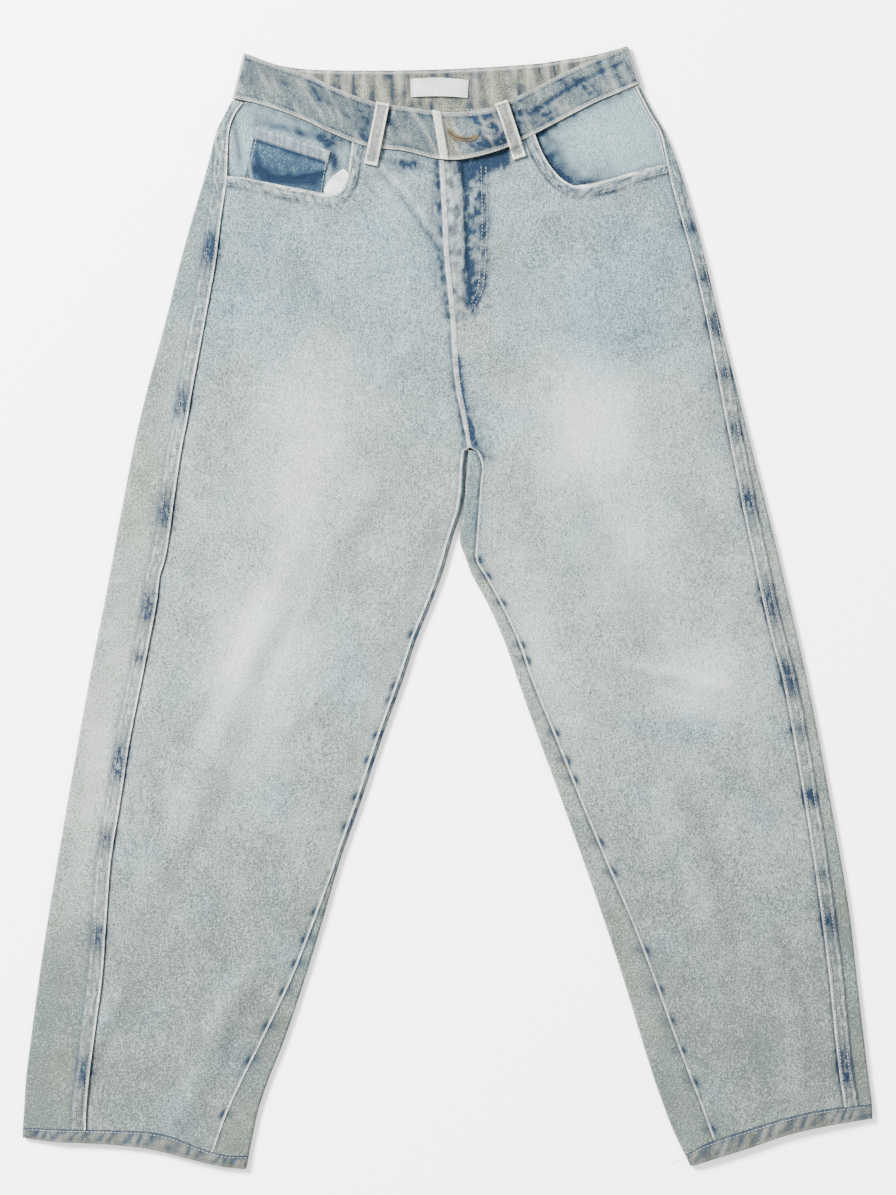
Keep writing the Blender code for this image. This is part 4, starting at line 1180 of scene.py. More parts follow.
def back_section(leg, row, below_crotch):
    """Section of a back panel: side seam, outer roll, table and, on the leg, the inseam."""
    out = leg.out
    spots, start = strip_spots(leg, row)
    columns = []
    for x, thickness in spots:
        y = row(x)
        z = TOP + lift(leg, x, y)
        columns.append(((x, z), (x, z + thickness + back_detail(leg, x, y, True)[0]), True))
    columns += turned_edge(start, DENIM + ROLL, ROLL, DENIM, out)
    inner_edge = meet(leg.inner, row)
    stop = inner_edge + out * (ROLL + DENIM) if below_crotch else inner_edge + out * GAP / 2
    columns += [((x, DENIM), (x, 0.0), False) for x in steps(start, stop, TABLE_CELLS)]
    if not below_crotch:
        return columns + [None] * (EDGE_PARTS + INSEAM_CELLS + 1)
    columns += reversed(turned_edge(stop, DENIM + ROLL, ROLL, DENIM, -out))
    inseam = meet(leg.inseam, row) - out * GAP / 2
    for x in steps(stop, inseam, INSEAM_CELLS):
        y = row(x)
        z = TOP + lift(leg, x, y)
        columns.append(((x, z), (x, z + DENIM + back_detail(leg, x, y, True)[0]), True))
    return columns


def section_shell(name, leg, sections):
    """A back piece through its sections, one for each row across the leg."""

    def place(row, column):
        if column is None:
            return None
        (near_x, near_z), (far_x, far_z), top = column
        y = row(near_x)
        return (near_x, y, near_z), (far_x, y, far_z), back_detail(leg, near_x, y, top)[1]

    grid = [[place(row, column) for column in columns] for row, columns in sections]
    return shell(name, grid, denim_back)


def on_strip(leg, distance, low, high):
    """A line on the felled band beside the side seam."""
    line = []
    for y in levels(low, high):
        x = leg.side(y) + leg.out * distance
        z = TOP + lift(leg, x, y) + FELLED + back_detail(leg, x, y, True)[0]
        line.append((x, y, z + THREAD_RISE))
    return line


for leg in (RIGHT, LEFT):
    sections = []
    for level in levels(leg.hem_level, BELOW_CROTCH, 3.0):
        row = hem_row(leg, level)
        sections.append((row, back_section(leg, row, True)))
    for level in levels(CROTCH, yoke_seam(YOKE[0]["x"]), 3.0):
        row = yoke_row(level)
        sections.append((row, back_section(leg, row, False)))
    back = section_shell(f"{leg.name}_back_panel", leg, sections)
    top_y = leg.mouth_low + 34 if leg.out < 0 else leg.mouth_low
    rows = [
        on_strip(leg, 2.6, leg.hem_level + 4, top_y),
        on_strip(leg, 9.6, leg.hem_level + 4, 330),
    ]
    stitching = stitched(f"{leg.name}_side_stitches", rows)
    laid(back, f"back_{leg.name}")

    sections = []
    for share in steps(0, 1, 12):

        def yoke_line(x, share=share):
            return mix(yoke_seam(x), back_waist(x) - SEAM_ROOM, share)

        sections.append((yoke_line, back_section(leg, yoke_line, False)))
    yoke = section_shell(f"{leg.name}_yoke", leg, sections)
    laid(yoke, f"yoke_{leg.name}")


# Hems
# The panels' ends turned up twice and chain-stitched. Washing has roped them: slanting puckers,
# worn white on top and dark between, uneven in length.
PUCKER_WIDTH = 13.2
HEM_ROWS = 8
HEM_CELLS = 150
UNDER_CELLS = 30
HEM_EDGE_PARTS = 5
HEM_STITCH_SHARE = 0.14
denim_hem = denim(
    "washed denim twill, hems",
    grey="#2b2e29",
    blue="#283136",
    worn="#747770",
    icy="#6d797c",
    indigo_and_shade="#1a2735",
    ridge="#7b7d75",
)


def hem_detail(leg, x, share):
    """Roped relief of a hem and its wear, at a share of the way to the lower edge."""
    phase = x / PUCKER_WIDTH + 0.7 * share + 1.9 * rough(x, 0, 26, 1, 21.0)
    wave = mix(math.sin(math.pi * phase) ** 2, rough(x, share * 9, 5, 7, 23.0), 0.45)
    uneven = 0.25 + 1.0 * rough(x, 0, 13, 1, 22.0)
    full = math.sin(math.pi * min(share * 0.8 + 0.12, 1.0))
    pale = 0.5 * wave * uneven * full + 0.4 * bump_at(share - 0.93, 0.1) * uneven
    indigo_and_shade = 1.1 * smooth((0.55 - wave) / 0.4) * uneven * full
    indigo_and_shade += 1.2 * bump_at(share - 0.04, 0.1)
    corner = 0.7 * bump_at((abs(x) - 388), 12) if leg.out > 0 else 0.2
    fade, blue = faded(x, leg.hem_level)
    worn = limited(fade - 0.2, blue, indigo_and_shade + corner * (1 - wave), pale)
    return 1.2 * wave * uneven * full, worn


def hem_ring(leg):
    """A hem as a closed ring: over the leg, round its outer edge, on the table and back up."""
    out = leg.out
    row = hem_row(leg, leg.hem_level)
    grid = []
    for share in steps(0, 1, HEM_ROWS):
        places = []

        def line(x, share=share):
            return mix(row(x) - GAP, leg.edge(x), share)

        outer_x = meet(leg.outer, line) - out * (HEM_ROLL + HEM)
        inner_x = meet(leg.inner, line) + out * (HEM_ROLL + HEM)

        def put(x, low, far_x, high, worn):
            y = line(x)
            places.append(((x, y, low), (far_x, y, high), worn))

        def put_turn(x, side, worn):
            middle = HEM + HEM_ROLL
            columns = turned_edge(x, middle, HEM_ROLL, HEM, side, HEM_EDGE_PARTS)
            for near, far, top in columns if side == out else reversed(columns):
                put(near[0], near[1], far[0], far[1], worn)

        rounded = 0.6 * smooth((share - 0.8) / 0.2)
        for i, x in enumerate(steps(inner_x, outer_x, HEM_CELLS)):
            rise, worn = hem_detail(leg, x, share)
            z = HEM_TOP + lift(leg, x, leg.hem_level) * (0 < i < HEM_CELLS)
            inside = smooth(i / 6) * smooth((HEM_CELLS - i) / 6)
            put(x, z, x, z + HEM + rise * inside - rounded, worn)
        plain = hem_detail(leg, outer_x, share)[1]
        put_turn(outer_x, out, plain)
        for x in steps(outer_x, inner_x, UNDER_CELLS):
            put(x, HEM, x, 0.0, plain)
        put_turn(inner_x, -out, plain)
        grid.append(places)
    return shell(f"{leg.name}_hem", grid, denim_hem, closed=True)


for leg in (RIGHT, LEFT):
    hem = hem_ring(leg)
    ends = sorted((leg.outer(leg.hem_level), leg.inner(leg.hem_level)))
    line = []
    for x in levels(ends[0] + 6, ends[1] - 8, 5):
        rise = hem_detail(leg, x, HEM_STITCH_SHARE)[0]
        z = HEM_TOP + lift(leg, x, leg.hem_level) + HEM + rise
        y = mix(leg.stitch(x), leg.edge(x), HEM_STITCH_SHARE)
        line.append((x, y, z + THREAD_RISE))
    stitching = stitched(f"{leg.name}_hem_stitches", [line], spacing=3.6, length=2.9)
    laid(hem, f"hem_{leg.name}")


# Pocket facings, coin pocket, pocketing and fly shield
# Denim kept from the sun under the fronts, so still blue. The coin pocket is its own patch with a
# stitched hem, and a crescent of white cotton pocketing shows at the right pocket's corner.
FACING_SINK = 1.2
SINK_REACH = 24.0
RIGHT_FACING = table(
    "low_x low_y high_x high_y",
    (-202.4, 394, -185, 467),
    (-186, 391, -168, 462),
    (-160, 385.5, -150, 456),
    (-130, 379, -130, 448.5),
    (-107, 375, -112, 440),
    (-94, 380, -99, 434),
    (-87, 392, -91, 430.8),
    (-83.5, 412, -84, 427.8),
)
LEFT_FACING = table(
    "low_x low_y high_x high_y",
    (202.6, 405.5, 177.4, 481.4),
    (184, 400.3, 163, 476.5),
    (160, 391.5, 143, 468),
    (135, 384.8, 124, 459),
    (116, 383.2, 107, 450),
    (100, 393.5, 94, 443.2),
    (85, 412, 83, 437.4),
    (77, 428, 76.5, 433.8),
)
COIN_POCKET = table(
    "low_x low_y high_x high_y",
    (-187.5, 391.5, -176, 442.5),
    (-164, 387, -153, 435),
    (-141, 381.3, -130, 427.5),
    (-117.5, 377, -108, 420.4),
)
POCKET_BAG = table(
    "low_x low_y high_x high_y",
    (-113.6, 376.4, -113.4, 386.5),
    (-107, 375.8, -109.5, 392.5),
    (-99, 378, -104.5, 398),
    (-92, 387, -99.5, 402),
    (-89.6, 399, -95.5, 404.5),
)
FACING_MARKS = strokes(
    # Painted shade under the right mouth's edge
    (6.0, 0.75, 0.0, 0.0, [(-100, 392), (-104, 410), (-112, 430), (-100, 428)]),
    (4.5, 0.5, 0.0, -0.3, [(-176, 446), (-150, 441), (-118, 432)]),
    (3.0, 0.55, 0.0, -0.3, [(-198, 452), (-193, 430), (-190, 408)]),
    (6.0, 0.35, 0.0, 0.0, [(-180, 455), (-150, 447), (-120, 437)]),
    # Painted shade under the left mouth's edge, this row and the next two
    (14.0, 0.6, 0.0, 0.0, [(104, 398), (96, 414), (90, 432)]),
    (17.0, 0.28, 0.0, 0.0, [(104, 402), (118, 397), (142, 397)]),
    (4.0, 0.4, 0.0, 0.0, [(104, 396), (118, 392), (136, 393)]),
    (5.0, 0.25, 0.0, 0.0, [(100, 440), (128, 456), (160, 470)]),
)
COIN_MARKS = strokes(
    # Painted shadow along the crease where the coin pocket's lower part bulges
    (2.4, 1.6, 0.0, -0.6, [(-163, 395.6), (-140, 394), (-112, 400)]),
    (7.5, 0.6, 0.0, 0.0, [(-176, 402), (-150, 396), (-122, 392)]),
    (3.0, 0.5, 0.0, 0.0, [(-176, 418), (-172, 404), (-170, 394)]),
)
denim_pocket = denim(
    "less faded denim twill, pockets",
    grey="#465250",
    blue="#1a2d3e",
    worn="#7c8c8d",
    icy="#6d8894",
    indigo_and_shade="#101c2b",
    ridge="#8f9598",
)
coin_line = curve(COIN_POCKET, "high_x", "high_y")


def patch(rows, across, up):
    """Plan points between the lower and the upper edge that a table gives."""
    edges = route(rows, "low_x low_y high_x high_y")
    grid = []
    for height in steps(0, 1, up):
        row = []
        for share in steps(0, 1, across):
            low_x, low_y, high_x, high_y = edges(share)
            row.append((mix(low_x, high_x, height), mix(low_y, high_y, height)))
        grid.append(row)
    return grid


def facing_height(leg, x, y):
    """Inner face of the cloth inside a pocket mouth, which sinks under the mouth's edge."""
    sink = FACING_SINK * (1 - smooth(mouth_distance(leg, x, y) / SINK_REACH))
    return TOP + lift(leg, x, y) - sink


def facing_detail(leg, x, y):
    """Relief and wear of a facing: darkest where the mouth's edge shades it."""
    indigo_and_shade, pale, rise = drawn(FACING_MARKS, x, y)
    rise += 0.3 * (rough(x, y, 14, 14, 31.0) - 0.5)
    from_waist = waist(x) - y
    from_side = abs(leg.side(y) - x)
    indigo_and_shade += (0.2 + 0.5 * rough(x, 0, 6, 1, 32.0)) * bump_at(from_waist - 2, 3)
    indigo_and_shade += 0.4 * bump_at(mouth_distance(leg, x, y), 4)
    indigo_and_shade += 0.3 * rough(x, y, 4, 6, 33.0) * bump_at(from_side - 3, 4)
    pale += 0.5 * bump_at(from_side - 1, 1.2)
    fade = 0.5 if leg.out > 0 else 0.42
    return rise, limited(fade, 0.35, indigo_and_shade, pale)


def coin_detail(x, y):
    """The coin pocket: an even mid blue, with a hem roped like the big ones."""
    from_top = coin_line(x) - y
    indigo_and_shade, pale, rise = drawn(COIN_MARKS, x, y)
    wavy = math.sin(x * 0.5 + 3 * rough(x, 0, 11, 1, 34.0)) ** 2
    wavy = mix(wavy, rough(x, y, 3, 5, 36.0), 0.5)
    hem = 1 - smooth((from_top - 9.5) / 2)
    rise += 0.6 * hem * (0.3 + wavy)
    pale += hem * (0.05 + 0.4 * wavy) + 0.5 * wavy * bump_at(from_top - 0.6, 1.2)
    indigo_and_shade += 0.3 * hem * (1 - wavy) + 0.85 * bump_at(from_top - 12.2, 1.7)
    for edge in (-108.5, -181.0):
        slanted = edge - 0.22 * (y - 400) * 0.8
        pale += 0.35 * bump_at(x - slanted, 1.2)
    indigo_and_shade += 0.45 * rough(x, y, 9, 6, 37.0)
    return rise, limited(0.02, 0.85, indigo_and_shade, pale)


def on_facing(x, y):
    """Inner face of what lies on the right facing."""
    return facing_height(RIGHT, x, y) + FACING + GAP


FACINGS = (
    (RIGHT, RIGHT_FACING, (0.125, 0.085)),
    (LEFT, LEFT_FACING, (0.135, 0.085)),
)
for leg, rows, flat in FACINGS:
    points = []
    for row in patch(rows, 64, 28):
        shift = leg.side(row[0][1]) - leg.out * SEAM_ROOM - row[0][0]
        last = len(row) - 1
        points.append([(x + shift * (1 - j / last) ** 2, y) for j, (x, y) in enumerate(row)])
    points[-1] = [(x, waist(x) - SEAM_ROOM) for x, y in points[-1]]
    facing = over_grid(
        f"{leg.name}_pocket_facing",
        points,
        lambda x, y: facing_height(leg, x, y),
        FACING,
        lambda x, y: facing_detail(leg, x, y),
        denim_pocket,
    )
    laid(facing, f"pocket_facing_{leg.name}")


def on_coin(x, y):
    """A point of thread on the coin pocket."""
    return x, y, on_facing(x, y) + FACING + coin_detail(x, y)[0] + THREAD_RISE


coin_grid = patch(COIN_POCKET, 48, 30)
coin = over_grid("coin_pocket_patch", coin_grid, on_facing, FACING, coin_detail, denim_pocket)
rows = []
for distance in (2.2, 9.0):
    rows.append([on_coin(x, coin_line(x) - distance) for x in levels(-172, -110, 3)])
for low_x, low_y, high_x, high_y in ((-184, 397, -174.5, 438), (-116, 384, -110.5, 417)):
    places = zip(steps(low_x, high_x, 13), steps(low_y, high_y, 13))
    rows.append([on_coin(x, y) for x, y in places])
on_it = [stitched("coin_pocket_stitches", rows)]
laid(coin, "coin_pocket")


def cotton(name, color, shade, scale, roughness=0.85):
    """Plain woven cotton: crossing yarns as a soft check in its bump, with faint grey in patches."""
    finish, tree, shader = cloth_shader(name, roughness, 0.02)
    place = add(tree, "ShaderNodeTexCoord").outputs["Object"]
    yarns = add(tree, "ShaderNodeTexChecker", {"Vector": place, "Scale": scale})
    patches = add(tree, "ShaderNodeTexNoise", {"Vector": place, "Scale": 120.0, "Detail": 3.0})
    share = scaled(tree, patches.outputs["Fac"], -0.4, 1.4)
    tone = mixed(tree, share, linear(shade), linear(color))
    tree.links.new(tone, shader.inputs["Base Color"])
    inputs = {"Height": yarns.outputs["Fac"], "Strength": 0.25, "Distance": 0.0003}
    relief = add(tree, "ShaderNodeBump", inputs)
    tree.links.new(relief.outputs["Normal"], shader.inputs["Normal"])
    return finish


pocket_cotton = cotton("plain cotton pocketing", "#bcbdba", "#8b9092", 900.0)
bag = over_grid(
    "right_pocket_bag",
    patch(POCKET_BAG, 24, 10),
    on_facing,
    POCKETING,
    lambda x, y: (0.5 * (rough(x, y, 5, 8, 35.0) - 0.3), NO_WEAR),
    pocket_cotton,
)
laid(bag, "pocket_bag_right")

points = []
for y in steps(292, 407, 24):
    seam = RIGHT.inseam_line(y)
    points.append([(seam + distance, y) for distance in steps(-12, 26, 12)])


def shield_height(x, y):
    """Inner face of the underlap, which fills the gap behind the fly."""
    leg = RIGHT if x < RIGHT.inseam_line(y) else LEFT
    return TOP + lift(leg, x, y) - FACING - SEAM_ROOM


shield = over_grid(
    "fly_underlap",
    points,
    shield_height,
    FACING,
    lambda x, y: (0.0, (0.2, 0.8, 0.2, 0.0)),
    denim_pocket,
)
laid(shield, "fly_shield")


# Waistband, buttonhole and button
# One double strip of denim, folded at both sides. The front faces are faded and bruised blue round
# the button, and the inside of the back shows the cloth's cream reverse, gathered on the seam.
BAND_WIDTH = 41.0
BAND_ROWS = 18
OVERLAP_RISE = 2.6
OVERLAP_END = 55.0
BUTTON_AT = (41.0, 440.0)
BUTTON_BULGE = 2.4
# Gathers of the back, the stretch that has them, and the label's stretch, where few are left
GATHER = 0.9
GATHER_WIDTH = 17.0
GATHERED_MIDDLE = -10.0
GATHERED_HALF = 180.0
LABEL_MIDDLE = -7.4
LABEL_HALF = 26.0
LEFT_UNDER_LABEL = 0.12
BAND_RIGHT = table(
    "seam_x seam_y top_x top_y",
    (55, 424.5, 44, 461),
    (11.7, 412.6, 6, 455.8),
    (-9.5, 413.6, -12, 457.2),
    (-39, 420.6, -33, 460.3),
    (-75.7, 425.5, -67, 465.5),
    (-108, 437.9, -98.7, 476.6),
    (-135.5, 450.8, -127, 489.5),
    (-172, 463.7, -163, 502),
    (-198.5, 469.2, -188.4, 510.6),
)
BAND_BACK = table(
    "seam_x seam_y top_x top_y",
    (-198.5, 469.2, -188.4, 510.6),
    (-172, 462.5, -168, 503.5),
    (-135, 458, -133, 497),
    (-76, 456, -75, 495.4),
    (0, 456, 0, 496.8),
    (76, 459.5, 74, 501),
    (113, 464, 108, 505.5),
    (140.5, 470, 134, 509.5),
    (178.3, 482, 166.9, 517),
)
BAND_LEFT = table(
    "seam_x seam_y top_x top_y",
    (178.3, 482, 166.9, 517),
    (140.5, 467.4, 128.5, 502.5),
    (113, 453.6, 100, 489),
    (76, 434.2, 62, 469),
    (48.5, 421.4, 38, 458),
    (11.7, 412.6, 5, 455.6),
    (-6.5, 413.2, -14, 457.6),
)
BAND_MARKS = strokes(
    (2.2, 0.8, 0.0, -1.0, [(53, 452), (81, 457), (91, 465), (110, 477), (127, 487), (141, 493)]),
    (2.0, 0.5, 0.0, -0.6, [(141, 493), (150, 497), (161, 502)]),
    (7.0, 0.28, 0.0, 0.0, [(58, 440), (84, 452), (104, 466)]),
    (6.0, 0.3, 0.0, 0.0, [(-84, 444), (-78, 456), (-72, 462)]),
    (2.4, 0.6, 0.0, -0.6, [(-64, 428), (-57, 448), (-52, 461)]),
    (2.4, 0.55, 0.0, -0.6, [(-80, 432), (-70, 450), (-66, 462)]),
    (2.6, 0.8, 0.0, -0.7, [(69, 430), (60, 448), (56, 462)]),
    (2.6, 0.7, 0.0, -0.6, [(53, 424), (47, 440), (43, 456)]),
    (2.4, 0.5, 0.0, -0.6, [(-120, 470), (-104, 462), (-90, 452)]),
    (2.4, 0.35, 0.0, -0.5, [(-160, 486), (-140, 480), (-122, 472)]),
    (2.0, 0.5, 0.0, -0.6, [(8, 430), (16, 428), (28, 422)]),
    (3.6, 0.6, 0.0, 0.0, [(30, 452), (44, 455), (52, 450), (52, 438), (44, 428), (32, 427)]),
    (3.0, 0.4, 0.0, 0.0, [(14, 448), (26, 452), (36, 452)]),
)
denim_band = denim(
    "washed denim twill, waistband",
    grey="#424339",
    blue="#2d3c45",
    worn="#82857c",
    icy="#6f858e",
    indigo_and_shade="#111e2d",
    ridge="#a09f95",
)


def band_height(x, y, left):
    """Inner face of the waistband's front, raised where its left end lies over the right."""
    from_fold = min(x - BAND_BACK[0]["seam_x"], BAND_BACK[-1]["seam_x"] - x)
    height = TOP + LOFT * smooth(from_fold / LOFT_REACH)
    if left:
        height += OVERLAP_RISE * (1 - smooth((x - OVERLAP_END) / 40))
        from_button = math.hypot(x - BUTTON_AT[0], y - BUTTON_AT[1])
        height += BUTTON_BULGE * (1 - smooth((from_button - 11) / 9))
    return height


def beside_label(x):
    """1 beside the label and 0 under it."""
    return smooth((abs(x - LABEL_MIDDLE) - LABEL_HALF) / 5)


def gathers(x):
    """Height of the back waistband's gathers, lower under the label."""
    wave = math.sin(math.pi * x / GATHER_WIDTH) ** 2
    uneven = 0.65 + 0.35 * math.sin(x * 0.071 + 1.3)
    at_ends = smooth((GATHERED_HALF - abs(x - GATHERED_MIDDLE)) / 20)
    return GATHER * wave * uneven * mix(LEFT_UNDER_LABEL, 1.0, beside_label(x)) * at_ends


def band_front(x, y, share, left):
    """Relief and wear of the band's front. The share runs from the waist seam to the top edge."""
    indigo_and_shade, pale, rise = drawn(BAND_MARKS, x, y)
    indigo_and_shade *= 0.3 + 1.2 * rough(x, y, 3.5, 3.5, 48.0)
    up = share * BAND_WIDTH
    down = BAND_WIDTH - up
    wavy = rough(x, 0, 6, 1, 41.0)
    small = rough(x, y, 4, 4, 42.0)
    wide = rough(x, y, 26, 22, 43.0)
    for edge in (up, down):
        rise += 0.4 * bump_at(edge - 0.9, 1.0) - 0.35 * bump_at(edge - 3.0, 1.0)
        rise += 0.6 * (wavy - 0.5) * bump_at(edge - 2, 5)
        pale += (0.4 + 0.5 * wavy) * bump_at(edge - 0.9, 1.2)
        indigo_and_shade += (0.3 + 0.6 * wavy) * bump_at(edge - 3.6, 1.4)
    slant = rough(x + 0.5 * y, y, 7, 26, 45.0)
    rise += 0.7 * (wide - 0.5) + 0.3 * (small - 0.5) + 0.5 * (slant - 0.5)
    indigo_and_shade += 0.5 * smooth((wide - 0.38) / 0.3) * small
    indigo_and_shade += 0.5 * smooth((0.4 - slant) / 0.2) * smooth((small - 0.25) / 0.35)
    for beside_loop in (-72, 60):
        near_loop = smooth((20 - abs(x - beside_loop)) / 14)
        indigo_and_shade += 0.5 * near_loop * smooth((small - 0.35) / 0.3)
    pale += 0.14 * smooth((slant - 0.62) / 0.2)
    fade = 0.2 + 0.3 * (small - 0.5)
    blue = 0.55
    if left:
        near_button = bump_at(math.hypot(x - BUTTON_AT[0], y - BUTTON_AT[1]), 17)
        indigo_and_shade += 0.95 * near_button * smooth((small - 0.4) / 0.25)
        ring = bump_at(math.hypot(x - BUTTON_AT[0], y - BUTTON_AT[1]) - 8.2, 1.4)
        pale += 0.35 * ring * small
        from_end = x - mix(-6.5, -14, share)
        folded = 1 - smooth((from_end - 7) / 1.5)
        blue *= smooth((from_end - 14) / 10)
        fade = mix(fade, 0.75, folded)
        indigo_and_shade = indigo_and_shade * (1 - folded) + 0.6 * bump_at(from_end - 8.6, 1.0)
        pale += 0.45 * folded + 0.3 * bump_at(from_end - 0.8, 1.2)
        rise += 0.5 * folded - 0.4 * bump_at(from_end - 8.6, 1.1)
    else:
        fade -= 0.12
    return rise, limited(fade, blue, indigo_and_shade, pale)


def band_back(x, y, share):
    """Relief and wear of the inside of the back: the cream reverse, with gathers and streaks."""
    strayed = x + 9 * (rough(x, y, 24, 30, 49.0) - 0.5)
    wave = math.sin(math.pi * strayed / GATHER_WIDTH) ** 2
    streak = rough(x, y, 3.2, 40, 44.0)
    pale = 0.35 * smooth((wave - 0.5) / 0.4) * streak * beside_label(x)
    indigo_and_shade = 0.35 * smooth((0.45 - wave) / 0.3) * smooth((streak - 0.3) / 0.3)
    indigo_and_shade += 0.55 * smooth((rough(x, y, 2.6, 22, 46.0) - 0.6) / 0.15)
    indigo_and_shade += 0.3 * smooth((rough(x, y, 9, 9, 47.0) - 0.6) / 0.2)
    top = (1 - share) * BAND_WIDTH
    pale += 0.3 * bump_at(top - 2.2, 1.3)
    indigo_and_shade += 0.35 * bump_at(top - 0.4, 0.8) + 0.3 * bump_at(top - 4.4, 1.0) * streak
    return gathers(x) + 0.2 * (streak - 0.5), limited(0.14, 0.0, indigo_and_shade, pale)


band_grid = [[] for _ in range(BAND_ROWS + 1)]


def band_station(place, part, near=None, far=None):
    """Adds one column to the band, from the waist seam to the top edge."""
    for row, share in zip(band_grid, steps(0, 1, BAND_ROWS)):
        x = mix(place[0], place[2], share)
        y = mix(place[1], place[3], share)
        if part == "back":
            rise, worn = band_back(x, y, share)
            row.append(((x, y, BAND + rise), (x, y, 0.0), worn))
        elif part == "turn":
            worn = (0.5, 0.3, 0.1, 0.35)
            row.append(((x + near[0], y, near[1]), (x + far[0], y, far[1]), worn))
        else:
            left = part == "left"
            rise, worn = band_front(x, y, share, left)
            z = band_height(x, y, left)
            # The right end is smooth where the left one covers it
            if not left and x > -4:
                rise = 0.0
            row.append(((x, y, z), (x, y, z + BAND + rise), worn))


def band_stretch(rows, seam, cells, inset_start, inset_end, part):
    """Adds a stretch of the band, drawn in at its ends to leave room for the turns."""
    path = route(rows, "seam_x seam_y top_x top_y")
    for share in steps(0, 1, cells):
        place = path(share)
        place[1] = seam(place[0])
        shift = inset_start * (1 - smooth(share * 8)) + inset_end * (1 - smooth((1 - share) * 8))
        place[0] += shift
        place[2] += shift
        band_station(place, part)


TURN = BAND_ROLL + BAND


def band_turn(place, side):
    """Adds the fold at one side of the band."""
    inset = -side * TURN
    corner = (place["seam_x"] + inset, place["seam_y"], place["top_x"] + inset, place["top_y"])
    columns = turned_edge(0.0, BAND + BAND_ROLL, BAND_ROLL, BAND, side)
    for near, far, top in columns if side < 0 else reversed(columns):
        band_station(corner, "turn", near, far)


band_stretch(BAND_RIGHT, waist, 110, 0.0, TURN, "right")
band_turn(BAND_BACK[0], -1)
band_stretch(BAND_BACK, back_waist, 170, TURN, -TURN, "back")
band_turn(BAND_BACK[-1], 1)
band_stretch(BAND_LEFT, waist, 120, -TURN, 0.0, "left")
band = shell("waistband_strip", band_grid, denim_band)


def band_top(x, y, share, left):
    """Height of the face of the band's front."""
    return band_height(x, y, left) + BAND + band_front(x, y, share, left)[0]


def band_line(rows, seam, low, high, share, part):
    """A line of thread on the band between two shares of its run."""
    path = route(rows, "seam_x seam_y top_x top_y")
    line = []
    for along in steps(low, high, 90):
        place = path(along)
        x = mix(place[0], place[2], share)
        y = mix(seam(place[0]), place[3], share)
        if part == "back":
            z = BAND + band_back(x, y, share)[0]
        else:
            z = band_top(x, y, share, part == "left")
        line.append((x, y, z + THREAD_RISE))
    return line


rows = []
for share in (0.075, 0.925):
    rows.append(band_line(BAND_RIGHT, waist, 0.29, 0.97, share, "right"))
    rows.append(band_line(BAND_LEFT, waist, 0.03, 0.98, share, "left"))
    rows.append(band_line(BAND_BACK, back_waist, 0.05, 0.95, share, "back"))
band_stitches = stitched("waistband_stitches", rows)

# The buttonhole's worked edge bows down round a keyhole: a ring of tan bars, close together
HOLE_SHARE = 0.45
BAR_RISE = 0.25
hole_line = spline([0, 7, 14, 21, 29], [438.6, 433.4, 431.2, 431.0, 434.6])
bars = []
for offset in (1.7, -1.7):
    line = []
    for x in steps(0.5, 27.5, 39):
        y = hole_line(x) + offset * (0.75 + 0.5 * bump_at(x - 3.5, 3.5))
        line.append((x, y, band_top(x, y, HOLE_SHARE, True) + BAR_RISE))
    bars.append(line)
for x, reach in ((0.4, 1.9), (27.8, 1.2)):
    y = hole_line(x)
    z = band_top(x, y, HOLE_SHARE, True) + BAR_RISE
    bars.append([(x, y - reach, z), (x, y, z + 0.05), (x, y + reach, z)])
hole_bars = stitched("buttonhole_bars", bars, tan_thread, spacing=0.75, length=2.5, height=0.8, turn=90)
# Painted shade in the open slot: a dark close row stands for the shadow in the slit
slot_shade_thread = thread("indigo in the buttonhole's slot", "#2a2c2b", "#151d27")
slot = []
for x in steps(2.0, 26, 29):
    y = hole_line(x)
    slot.append((x, y, band_top(x, y, HOLE_SHARE, True) + THREAD_RISE))
hole_slit_shade = stitched("buttonhole_slit_shade", [slot], slot_shade_thread, 0.8, length=1.5, width=1.1, height=0.3)
on_it = [band_stitches, hole_bars, hole_slit_shade]
laid(band, "waistband")

# Worn brass: smooth brown tarnish, with paler patches scuffed dull
brass = bpy.data.materials.new("worn brass")
brass.use_nodes = True
tree = brass.node_tree
metal = tree.nodes["Principled BSDF"]
metal.inputs["Metallic"].default_value = 1.0
brass_place = add(tree, "ShaderNodeTexCoord").outputs["Object"]
tarnish = add(tree, "ShaderNodeTexNoise", {"Vector": brass_place, "Scale": 600.0}).outputs["Fac"]
tone = mixed(tree, tarnish, linear("#6e5c38"), linear("#b59a63"))
tree.links.new(tone, metal.inputs["Base Color"])
tree.links.new(scaled(tree, tarnish, 0.25, 0.6), metal.inputs["Roughness"])
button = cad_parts["button"]
button.data.materials.clear()
button.data.materials.append(brass)


# Belt loops
# Folded denim strips, tacked over the waistband at both ends, their edges worn nearly white and the
# middle still blue low down.
BELT_LOOPS = table(
    "leg top_x top_y low_x low_y",
    (RIGHT, -59.2, 464.5, -70.6, 407.6),
    (LEFT, 49.4, 465, 66.4, 414),
)
LOOP_WIDTH = 12.0
LOOP_THICK = 1.7
TACK_RISE = 0.15


